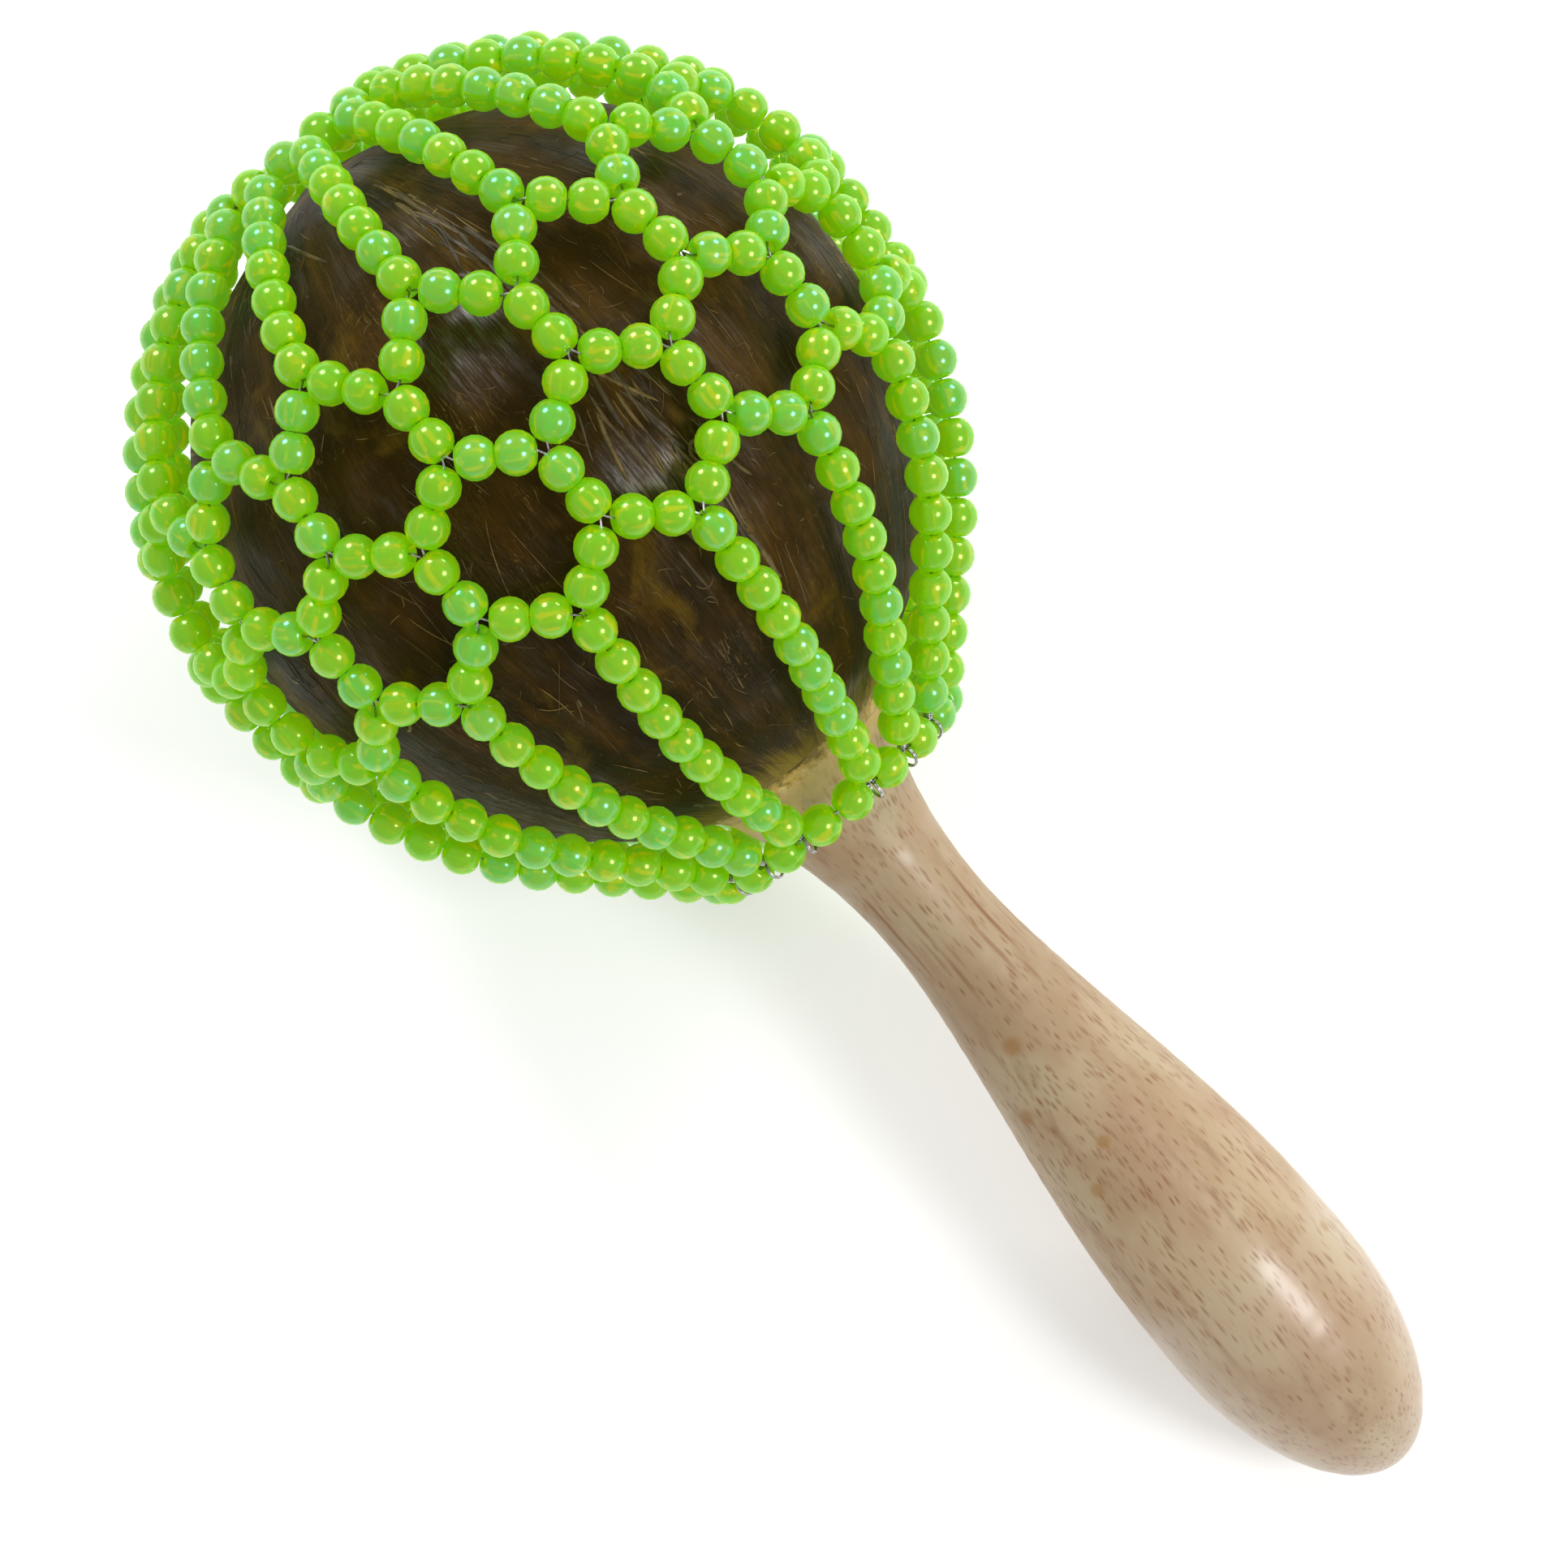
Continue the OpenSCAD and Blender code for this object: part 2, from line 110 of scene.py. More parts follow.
# Depths of the rind's relief, and how far it may stand off the smooth egg
RIND_LUMP_DEPTH = 0.55 * MM
RIND_GROOVE_DEPTH = 0.05 * MM
RIND_RIDGE_DEPTH = 0.15 * MM
RIND_PROUD = 0.05 * MM
# The relief dies out before the filler, at a share of the way to the handle, and round the crown
FILLER_CALM_SHARE = 0.93
FILLER_CALM_FADE = 2 * MM
CROWN_CALM_RADIUS = 1 * MM
CROWN_CALM_FADE = 3 * MM
# The middle of the dent: along the axis, from the axis, and longitude
DENT_MIDDLE = (-27 * MM, 43.3 * MM, 0.0)
DENT_DEPTH = 1.4 * MM
DENT_WIDTH = 9 * MM
RIDGE_LONGITUDES = (0.25, 0.25 + TURN / 3, 0.25 + 2 * TURN / 3)
RIDGE_WIDTH = 0.07

# Fibres of the husk, left in the rind
LOOSE_FIBRES = 2200
CURLY_SHARE = 0.6
BROAD_SHARE = 0.05
LONGEST_FIBRE = 13 * MM
SEAM_FIBRES = 480
SEAM_FIBRE_TINT = 0.6
FIBRE_STEPS = 9
FIBRE_SINK = 0.03 * MM
FIBRE_RISE = 0.06 * MM
FIBRE_TIP = 0.01 * MM

# Handle
HANDLE_ROWS = 260
HANDLE_COLUMNS = 120
END_ROWS = 86
SMOOTHED_ROWS = 6
OUTLINE_STEP = 0.02 * MM
# Reading the CAD outline: the rim lies before this share of the length and the rounded end after that
# one; points that lie well below their neighbours belong to the seat under the flare
RIM_SEARCH = 0.4
END_SEARCH = 0.9
NEIGHBOURS = 1 * MM
SEAT_DEPTH = 0.9 * MM
SEAT_LENGTH = 0.6 * MM
SAME_PLACE = 0.01 * MM
# Rings left by the turning tool, which begin on the flare
TURNING_MARK_DEPTH = 0.02 * MM
TURNING_MARK_SPACING = 3 * MM
TURNING_MARK_FADE = 10 * MM

# Filler round the handle's rim: its face is hollow, and its foot is pressed onto the shell
SEAM_COLUMNS = 180
SEAM_FACE_ROWS = 9
SEAM_LUMP = 0.18 * MM
SEAM_HOLLOW = 0.4 * MM
SEAM_FEATHER = 0.6 * MM
SEAM_PRESSED = 0.19 * MM
SEAM_SUNK = 0.05 * MM
SEAM_BACK = 0.2 * MM

# Beads
BEAD_RADIUS = 3.06 * MM
BEAD_SIDES = 10
BORE_RIM_REACH = 2.9 * MM
BEAD_SHRINK = 0.012
BEAD_SHIFT = 0.06 * MM
BEAD_TILT = 0.035
# How far apart the beads lie in the noise that streaks them
BEAD_SPREAD = 50
# Cage of a bead from one mouth of its bore to the other, as shares of its
# radius: distance along the bore, and radius. One subdivision rounds it.
BEAD_CAGE_SHARES = ((-0.95, 0.20), (-0.907, 0.54), (-0.38, 1.02), (0.38, 1.02), (0.907, 0.54), (0.95, 0.20))

# Eyelets on the neck ring
EYELET_WIRE_RADIUS = 0.18 * MM
EYELET_LOOP_RADIUS = 1.55 * MM
EYELET_STEP = 0.36 * MM
EYELET_DROP = 0.8 * MM
EYELET_PROUD = 0.6 * MM
# The loop begins this share of a turn after the wrap, and its turns stand a little further apart
LOOP_START = 0.08
LOOP_SPREAD = 1.15
LOOP_TURNS = 2
LOOP_STEPS = 28
WRAP_RADIUS = 0.6 * MM
WRAP_TURNS = 5
WRAP_STEPS = 20
WIRE_SIDES = 8

rng = np.random.default_rng(7)


def on_instrument(along, radius, longitude):
    """Place = head + axis * along + radius * (up * cos(longitude) + side * sin(longitude))."""
    across = np.cos(longitude)[..., None] * UP + np.sin(longitude)[..., None] * SIDE
    return HEAD + np.asarray(along)[..., None] * AXIS + np.asarray(radius)[..., None] * across


def off_instrument(points):
    """The way back: distance along the axis, distance from it, and longitude of each point."""
    offset = points - HEAD
    along, side, up = offset @ AXIS, offset @ SIDE, offset @ UP
    return along, np.hypot(side, up), np.arctan2(side, up)


def unit(vectors):
    """Vectors divided by their own lengths."""
    return vectors / np.linalg.norm(vectors, axis=-1, keepdims=True)


def node_points(name):
    """The vertices of a CAD node as an array of places."""
    mesh = frame["nodes"][name].data
    flat = np.zeros(len(mesh.vertices) * 3, np.float32)
    mesh.vertices.foreach_get("co", flat)
    return flat.reshape(-1, 3).astype(float)


def node_solids(name):
    """The separate solids of a CAD node as a list of vertex arrays.

    Equal places are welded, then every vertex takes the lowest number that any
    triangle links it to, until nothing changes."""
    mesh = frame["nodes"][name].data
    mesh.calc_loop_triangles()
    corners = np.zeros(len(mesh.loop_triangles) * 3, np.int32)
    mesh.loop_triangles.foreach_get("vertices", corners)
    places, welded = np.unique(np.round(node_points(name), 7), axis=0, return_inverse=True)
    triangles = welded.reshape(-1)[corners].reshape(-1, 3)
    label = np.arange(len(places))
    while True:
        lower = label.copy()
        np.minimum.at(lower, triangles, label[triangles].min(axis=1)[:, None])
        lower = lower[lower]
        if np.array_equal(lower, label):
            return [places[label == number] for number in np.unique(label)]
        label = lower


def waves(points, wavelength, count, seed):
    """Smooth noise of about -1 to 1: count plane sine waves of random direction and phase, summed and
    divided by the root of the count."""
    random = np.random.default_rng(seed)
    directions = unit(random.normal(size=(count, 3))) * TURN / wavelength
    phases = random.uniform(0, TURN, count)
    return np.sin(points @ directions.T + phases).sum(axis=-1) / math.sqrt(count)


def finished(name, points, faces, body):
    """A smooth mesh piece from points and faces, its faces turned outwards, riding on a body.

    The sign of the enclosed volume, a sum of p0 . (p1 x p2) / 6 over a fan of each face, tells
    which way the faces point."""
    points = np.asarray(points, float)
    volume = 0.0
    for size in {len(face) for face in faces}:
        corners = points[np.array([face for face in faces if len(face) == size])]
        for corner in range(1, size - 1):
            a, b, c = corners[:, 0], corners[:, corner], corners[:, corner + 1]
            volume += np.einsum("ij,ij->i", a, np.cross(b, c)).sum()
    if volume < 0:
        faces = [face[::-1] for face in faces]
    mesh = bpy.data.meshes.new(name)
    mesh.from_pydata(points.tolist(), [], faces)
    mesh.polygons.foreach_set("use_smooth", np.ones(len(faces), bool))
    mesh.update()
    piece = bpy.data.objects.new(name, mesh)
    bpy.context.scene.collection.objects.link(piece)
    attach(piece, body)
    return piece


def round_grid(values, columns):
    """The values, one to a row, against even longitudes, one to a column."""
    return np.meshgrid(values, np.arange(columns) * TURN / columns, indexing="ij")


def grid_faces(rows, columns, row_wrap):
    """Quads of a grid of points, each row closed, and the last row joined to the first if row_wrap."""
    row = np.arange(rows if row_wrap else rows - 1)[:, None]
    column = np.arange(columns)[None, :]
    below, beside = (row + 1) % rows, (column + 1) % columns
    row, below = row * columns, below * columns
    quads = np.broadcast_arrays(row + column, row + beside, below + beside, below + column)
    return np.stack(quads, axis=-1).reshape(-1, 4).tolist()


def cap_faces(ring_first, columns, pole, flip):
    """Triangles from a pole to a ring of points."""
    column = np.arange(columns)
    after = (column + 1) % columns
    ring = [ring_first + column, ring_first + after]
    return np.stack([np.full(columns, pole), *(ring[::-1] if flip else ring)], axis=-1).tolist()


def closed_faces(rows, columns):
    """Faces of a lathe or a tube whose two poles follow the points of its grid."""
    count = rows * columns
    return (
        grid_faces(rows, columns, False)
        + cap_faces(0, columns, count, True)
        + cap_faces(count - columns, columns, count + 1, False)
    )


def attribute(piece, name, values):
    """Stores a number or a vector at each vertex, for a material to read."""
    values = np.asarray(values, np.float32)
    kind, part = ("FLOAT", "value") if values.ndim == 1 else ("FLOAT_VECTOR", "vector")
    piece.data.attributes.new(name, kind, "POINT").data.foreach_set(part, values.ravel())


# Geometry of the coconut shell

def shell_outline():
    """Radius, half lengths to the crown and to the handle, and hole of the shell, from the CAD node.

    On an ellipse with half axes L and R, L = along / sqrt(1 - (radius / R)^2)."""
    along, radius, _ = off_instrument(node_points("coconut_shell"))
    widest = radius.max()
    near_hole = along > HOLE_SEARCH * along.max()
    hole = radius[near_hole].min()
    edge = along[near_hole & (radius < hole + HOLE_SLACK)].max()
    return widest, -along.min(), edge / math.sqrt(1 - (hole / widest) ** 2), hole


EGG_RADIUS, CROWN_LEN, BUTT_LEN, HOLE_RADIUS = shell_outline()


def egg(angle, inset=0.0):
    """Distance along the axis, and radius: (-L cos(angle), R sin(angle)), the angle going from 0 at the
    crown to pi at the handle, L and R smaller by the inset."""
    length = np.where(angle < math.pi / 2, CROWN_LEN, BUTT_LEN) - inset
    return -length * np.cos(angle), (EGG_RADIUS - inset) * np.sin(angle)


def ridge_share(longitude):
    """1 on the top of each of the three lengthwise ridges, falling as exp(-(angle / width)^2)."""
    ridge = np.zeros_like(longitude)
    for middle in RIDGE_LONGITUDES:
        apart = (longitude - middle + math.pi) % TURN - math.pi
        ridge += np.exp(-(apart / RIDGE_WIDTH) ** 2)
    return ridge


def rind_height(along, longitude, places):
    """How far the rind stands off its smooth egg: mostly inwards, and outwards by RIND_PROUD at most.

    It is a sum of broad lumps, three lengthwise ridges and fine lengthwise grooves, which are noise
    on a cylinder, so that they run along the meridians and draw together at the crown."""
    lumps = waves(places, 30 * MM, 24, 3) * 0.6 + waves(places, 12 * MM, 32, 4) * 0.22
    cylinder = np.stack([along * 0.12, 0.05 * np.cos(longitude), 0.05 * np.sin(longitude)], axis=-1)
    grooves = waves(cylinder, 2.4 * MM, 40, 5) + 0.6 * waves(cylinder, 1.1 * MM, 40, 6)
    patchy = np.clip(waves(places, 18 * MM, 24, 8) + 0.3, 0, 1)
    height = (
        RIND_LUMP_DEPTH * (lumps - 1)
        + RIND_GROOVE_DEPTH * (grooves * patchy - 1)
        + RIND_RIDGE_DEPTH * (ridge_share(longitude) - 1)
    )
    return np.minimum(height, RIND_PROUD)


def rind(angle, longitude, lift=0.0):
    """Place = egg + outward direction * (height of the rind - dent + lift), where the one broad dent is
    depth * exp(-(distance / width)^2). The rind is calm under the filler and at the very crown."""
    along, radius = egg(angle)
    length = np.where(along < 0, CROWN_LEN, BUTT_LEN)
    outward = unit(np.stack([along / length ** 2, radius / EGG_RADIUS ** 2], axis=-1))
    smooth = on_instrument(along, radius, longitude)
    calm = np.clip((BUTT_LEN * FILLER_CALM_SHARE - along) / FILLER_CALM_FADE, 0, 1)
    calm = calm * np.clip((radius - CROWN_CALM_RADIUS) / CROWN_CALM_FADE, 0, 1)
    dent = np.linalg.norm(smooth - on_instrument(*DENT_MIDDLE), axis=-1)
    height = rind_height(along, longitude, smooth) * calm + lift
    height = height - DENT_DEPTH * np.exp(-(dent / DENT_WIDTH) ** 2)
    return on_instrument(along + outward[..., 0] * height, radius + outward[..., 1] * height, longitude)


def coconut():
    """The shell as a closed lathe, the rind outside and the same egg one wall smaller inside."""
    last_outer = math.pi - math.asin(HOLE_RADIUS / EGG_RADIUS)
    last_inner = math.pi - math.asin(HOLE_RADIUS / (EGG_RADIUS - SHELL_WALL))
    outside = rind(*round_grid(np.linspace(0, last_outer, SHELL_ROWS)[1:], SHELL_COLUMNS))
    angle, turn = round_grid(np.linspace(last_inner, 0, WALL_ROWS)[:-1], SHELL_COLUMNS)
    skin = np.concatenate([outside, on_instrument(*egg(angle, SHELL_WALL), turn)])
    poles = on_instrument(np.array([0.0, SHELL_WALL]) - CROWN_LEN, np.zeros(2), np.zeros(2))
    points = np.concatenate([skin.reshape(-1, 3), poles])
    faces = closed_faces(len(skin), SHELL_COLUMNS)
    piece = finished("coconut_rind", points, faces, "instrument")
    along, _, turn = off_instrument(points)
    # Place along the fibres: distance along the axis, then a point on a cylinder round it
    along_fibres = np.stack([along, EGG_RADIUS * np.cos(turn), EGG_RADIUS * np.sin(turn)], axis=-1)
    attribute(piece, "fibre_place", along_fibres)
    attribute(piece, "ridge", ridge_share(turn))
    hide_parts("coconut_shell")
    return piece


def husk_fibres(name, places, headings, lengths, widths, curls, tints=1.0):
    """Fibres of the husk that stay in the rind, each a low ridge-shaped thread.

    The heading turns evenly along a fibre, heading + curl * (t - 1/2), and its steps along the
    meridian and round the axis are summed from its middle. Half width = w / 2 * sqrt(1 - (2 t - 1)^4)."""
    share = np.linspace(0, 1, FIBRE_STEPS)[None, :]
    heading = headings[:, None] + curls[:, None] * (share - 0.5)
    step = lengths[:, None] / (FIBRE_STEPS - 1)
    forth = np.cumsum(np.cos(heading), axis=1) * step
    aside = np.cumsum(np.sin(heading), axis=1) * step
    middle = FIBRE_STEPS // 2
    forth, aside = forth - forth[:, middle:middle + 1], aside - aside[:, middle:middle + 1]
    angle, longitude = places[:, :1] + forth / EGG_RADIUS, places[:, 1:]
    ring = EGG_RADIUS * np.sin(angle)
    half = widths[:, None] / 2 * np.sqrt(1 - (2 * share - 1) ** 4) + FIBRE_TIP
    rows = []
    for across, lift in ((-1, -FIBRE_SINK), (0, FIBRE_RISE), (1, -FIBRE_SINK)):
        shifted = angle - across * half * np.sin(heading) / EGG_RADIUS
        turned = longitude + (aside + across * half * np.cos(heading)) / ring
        rows.append(rind(shifted, turned, lift))
    points = np.stack(rows, axis=2).reshape(-1, 3)
    one = np.array(grid_faces(FIBRE_STEPS, 3, False))
    ends = np.array([(0, 2, 1), (-3, -2, -1)]) % (FIBRE_STEPS * 3)
    first = (np.arange(len(places)) * FIBRE_STEPS * 3)[:, None, None]
    faces = (one[None] + first).reshape(-1, 4).tolist() + (ends[None] + first).reshape(-1, 3).tolist()
    piece = finished(name, points, faces, "instrument")
    attribute(piece, "fibre_tint", np.repeat(tints * rng.uniform(0, 1, len(places)), FIBRE_STEPS * 3))
    return piece


def loose_fibres():
    """Straight splinters and curled threads all over the rind, at random places of even density."""
    count = LOOSE_FIBRES
    angle = np.arccos(rng.uniform(-0.93, 0.97, count))
    places = np.stack([angle, rng.uniform(0, TURN, count)], axis=-1)
    curly = rng.uniform(0, 1, count) < CURLY_SHARE
    headings = np.where(curly, rng.uniform(0, TURN, count), rng.normal(0, 0.28, count))
    lengths = np.where(curly, rng.gamma(1.6, 1.0, count) + 0.5, rng.gamma(2.2, 1.9, count) + 0.7) * MM
    curls = np.where(curly, rng.normal(0, 1.3, count), rng.normal(0, 0.25, count))
    broad = rng.uniform(0, 1, count) < BROAD_SHARE
    widths = np.where(broad, rng.uniform(0.5, 1.1, count), rng.uniform(0.06, 0.22, count)) * MM
    return husk_fibres("loose_fibres", places, headings, np.minimum(lengths, LONGEST_FIBRE), widths, curls)


def seam_fibres():
    """Longer and duller fibres left on the three ridges, almost parallel to them."""
    count = SEAM_FIBRES
    ridge = rng.integers(0, len(RIDGE_LONGITUDES), count)
    longitude = np.array(RIDGE_LONGITUDES)[ridge] + rng.normal(0, RIDGE_WIDTH * 0.6, count)
    places = np.stack([rng.uniform(0.5, 2.5, count), longitude], axis=-1)
    widths = rng.gamma(2.0, 0.32, count) * MM + 0.15 * MM
    lengths = rng.uniform(2.0, 11.0, count) * MM
    headings, curls = rng.normal(0, 0.10, count), rng.normal(0, 0.25, count)
    return husk_fibres("seam_fibres", places, headings, lengths, widths, curls, SEAM_FIBRE_TINT)


# Geometry of the handle and the filler

def lathe_outline(name):
    """The outline of a turned CAD node as (along, radius), one pair for each ring of its vertices."""
    along, radius, _ = off_instrument(node_points(name))
    rings = np.unique(np.round(np.stack([along, radius], axis=-1), 6), axis=0)
    keep = [rings[0]]
    for ring in rings[1:]:
        if np.linalg.norm(ring - keep[-1]) > OUTLINE_STEP:
            keep.append(ring)
    return np.array(keep)


def smoothed(values, width):
    """Mean of 2 * width + 1 neighbours, weighted by a cosine bell, the ends held."""
    padded = np.concatenate([np.full(width, values[0]), values, np.full(width, values[-1])])
    window = np.hanning(2 * width + 3)[1:-1]
    return np.convolve(padded, window / window.sum(), mode="valid")


def turned_handle():
    """The handle as one lathe: tenon and seat as the CAD has them, then its outline drawn smooth.

    Radius = the CAD outline read at even steps, averaged over neighbours, with faint rings left by
    the turning tool; the end closes as r = R sqrt(1 - t^2)."""
    outline = lathe_outline("handle")
    along, radius = outline.T
    low, end = along.min(), along.max()
    rim = outline[np.argmax(np.where(along < end * RIM_SEARCH, radius, 0))]
    tenon_radius = radius[np.abs(along - low) < SAME_PLACE].max()
    beside = np.abs(along[:, None] - along) < NEIGHBOURS
    outermost = np.where(beside, radius, 0).max(axis=1)
    on_face = (radius > outermost - SEAT_DEPTH) | (along > END_SEARCH * end)
    body = outline[on_face & (along > rim[0] + SAME_PLACE)]
    body = body[np.argsort(body[:, 0])]
    widest = body[np.argmax(body[:, 1])]
    straight = np.linspace(rim[0], widest[0], HANDLE_ROWS)
    read = np.interp(straight, np.r_[rim[0], body[:, 0]], np.r_[rim[1], body[:, 1]])
    drawn = smoothed(np.r_[read[0], (read[:-2] + 2 * read[1:-1] + read[2:]) / 4, read[-1]], SMOOTHED_ROWS)
    drawn[:SMOOTHED_ROWS] = read[:SMOOTHED_ROWS]
    turn = np.linspace(0, math.pi / 2, END_ROWS)[1:-1]
    along = np.r_[low, low, rim[0] + SEAT_LENGTH, straight, widest[0] + (end - widest[0]) * np.sin(turn)]
    radius = np.r_[tenon_radius * 0.5, tenon_radius, tenon_radius, drawn, widest[1] * np.cos(turn)]
    along_grid, turn_grid = round_grid(along, HANDLE_COLUMNS)
    radius_grid = np.broadcast_to(radius[:, None], along_grid.shape)
    marks = waves(along_grid[..., None] * (1, 0, 0), TURNING_MARK_SPACING, 12, 11)
    dents = waves(on_instrument(along_grid, radius_grid, turn_grid), 30 * MM, 16, 12)
    on_grip = np.clip((along_grid - rim[0]) / TURNING_MARK_FADE, 0, 1)
    radius_grid = radius_grid - on_grip * TURNING_MARK_DEPTH * (1.5 + marks + 2 * dents)
    skin = on_instrument(along_grid, radius_grid, turn_grid).reshape(-1, 3)
    points = np.concatenate([skin, on_instrument(np.array([low, end]), np.zeros(2), np.zeros(2))])
    faces = closed_faces(len(along), HANDLE_COLUMNS)
    piece = finished("turned_handle", points, faces, "instrument")
    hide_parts("handle")
    return piece


def filler_seam():
    """The filler as a ring whose section is a soft wedge between the shell and the flare of the handle.

    Section point = point of the CAD wedge, its radius moved by noise in space."""
    along, radius, _ = off_instrument(node_points("neck_seam"))
    low, high = along.min(), along.max()
    wide, narrow = radius.max(), radius.min()
    # Round the wedge: foot feathering out on the shell, hollow face, lip on the flare, and back under
    share = np.linspace(0, 1, SEAM_FACE_ROWS)
    face_along = low + (high - low) * share
    face_radius = wide + (narrow + SEAM_SUNK - wide) * share - SEAM_HOLLOW * np.sin(math.pi * share)
    face_radius[0] -= SEAM_PRESSED
    foot_along = low - SEAM_FEATHER
    foot_radius = EGG_RADIUS * math.sqrt(1 - (foot_along / BUTT_LEN) ** 2) - SEAM_SUNK
    section_along = np.r_[foot_along, face_along, high - SEAM_BACK, (low + high) / 2]
    section_radius = np.r_[foot_radius, face_radius, narrow - SEAM_BACK, narrow]
    along_grid, turn_grid = round_grid(section_along, SEAM_COLUMNS)
    radius_grid = np.broadcast_to(section_radius[:, None], along_grid.shape)
    lumps = waves(on_instrument(along_grid, radius_grid, turn_grid), 5 * MM, 24, 21)
    lifted = np.r_[0.0, 0.2, np.ones(SEAM_FACE_ROWS - 2), 0.0, 0.0, 0.0][:, None]
    points = on_instrument(along_grid, radius_grid + lifted * SEAM_LUMP * lumps, turn_grid)
    faces = grid_faces(len(section_along), SEAM_COLUMNS, True)
    piece = finished("filler_seam", points.reshape(-1, 3), faces, "instrument")
    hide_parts("neck_seam")
    return piece


# Geometry of the beads

def bead_place(solid):
    """Centre and bore direction of one bead: the rims of its bore are its innermost vertices, their mean
    is the centre, and the direction in which they spread most is the bore."""
    centre = solid.mean(axis=0)
    for _ in range(3):
        rims = solid[np.linalg.norm(solid - centre, axis=1) < BORE_RIM_REACH]
        centre = rims.mean(axis=0)
    spread, directions = np.linalg.eigh(np.cov((rims - centre).T))
    return centre, directions[:, np.argmax(spread)]


def bead_cage():
    """One bead with its bore along Z and radius 1: the cage's outline carried round the bore.

    Subdividing a ring of n points draws it in to (2 + cos(turn / n)) / 3 of its radius, so the cage is
    made larger by that."""
    drawn_in = (2 + math.cos(TURN / BEAD_SIDES)) / 3
    outline = np.array(BEAD_CAGE_SHARES)
    along, turn = round_grid(outline[:, 0], BEAD_SIDES)
    radius = outline[:, 1][:, None] / drawn_in
    points = np.stack([radius * np.cos(turn), radius * np.sin(turn), along], axis=-1)
    return points.reshape(-1, 3), np.array(grid_faces(len(outline), BEAD_SIDES, True))


def string_of_beads(name, body):
    """All beads of one CAD node as one piece: place = centre + cage * (across, beside, bore)."""
    cage, cage_faces = bead_cage()
    centres, bores = (np.array(part) for part in zip(*map(bead_place, node_solids(name))))
    count = len(centres)
    bores = unit(bores + rng.normal(0, BEAD_TILT, (count, 3)))
    centres = centres + rng.uniform(-1, 1, (count, 3)) * BEAD_SHIFT
    across = unit(np.cross(bores, rng.normal(size=(count, 3))))
    size = BEAD_RADIUS * (1 - BEAD_SHRINK * rng.uniform(0, 1, count))
    basis = np.stack([across, np.cross(bores, across), bores], axis=1) * size[:, None, None]
    points = centres[:, None, :] + np.einsum("pk,bkd->bpd", cage, basis)
    faces = cage_faces[None] + (np.arange(count) * len(cage))[:, None, None]
    piece = finished("beads_" + name, points.reshape(-1, 3), faces.reshape(-1, 4).tolist(), body)
    finish = rng.integers(0, len(BEAD_FILMS), count)
    piece.data.polygons.foreach_set("material_index", np.repeat(finish, len(cage_faces)))
    apart = rng.uniform(0, BEAD_SPREAD, (count, 1, 3)) * (1, 1, 0)
    attribute(piece, "bead_place", (cage[None] + apart).reshape(-1, 3))
    attribute(piece, "bead_tint", np.repeat(rng.uniform(0, 1, count), len(cage)))
    rounding = piece.modifiers.new("rounding", "SUBSURF")
    rounding.levels = rounding.render_levels = 1
    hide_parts(name)
    return piece


# Geometry of the eyelets

def tube(path, turn_axis, radius):
    """A round wire along a path: ring = point + radius * (normal * cos + axis * sin), where axis is the
    line that the wire turns about there and normal = axis x tangent."""
    tangent = unit(np.gradient(path, axis=0))
    axis = unit(turn_axis - np.einsum("ij,ij->i", turn_axis, tangent)[:, None] * tangent)
    normal = np.cross(axis, tangent)
    angle = (np.arange(WIRE_SIDES) * TURN / WIRE_SIDES)[None, :, None]
    rings = path[:, None] + radius * (normal[:, None] * np.cos(angle) + axis[:, None] * np.sin(angle))
    return np.concatenate([rings.reshape(-1, 3), path[:1], path[-1:]]), closed_faces(len(path), WIRE_SIDES)


def eyelet_path():
    """One eyelet in its own frame: X is the line of the neck ring, Z points away from the strand.

    A wrap of WRAP_TURNS turns about Z climbs to the loop, then the wire goes twice round a circle
    about X, stepping sideways, and ends beside the wrap. The second array is what it turns about."""
    wrap_top = EYELET_DROP - EYELET_LOOP_RADIUS - EYELET_STEP * 0.5
    turn = np.linspace(0, TURN * WRAP_TURNS, WRAP_STEPS * WRAP_TURNS)
    wrap = np.stack([
        WRAP_RADIUS * np.cos(turn),
        WRAP_RADIUS * np.sin(turn),
        wrap_top - EYELET_STEP * WRAP_TURNS + EYELET_STEP * turn / TURN,
    ], axis=-1)
    wrap_axis = np.broadcast_to([0.0, 0.0, 1.0], wrap.shape)
    loop_turn = np.linspace(LOOP_START * TURN, LOOP_TURNS * TURN, LOOP_STEPS * LOOP_TURNS)
    share = loop_turn / (LOOP_TURNS * TURN)
    loop = np.stack([
        EYELET_STEP * (0.5 - share) * LOOP_SPREAD,
        EYELET_LOOP_RADIUS * np.sin(loop_turn) + EYELET_PROUD,
        EYELET_DROP - EYELET_LOOP_RADIUS * np.cos(loop_turn),
    ], axis=-1)
    loop_axis = np.broadcast_to([-1.0, 0.0, 0.0], loop.shape)
    return np.concatenate([wrap, loop]), np.concatenate([wrap_axis, loop_axis])


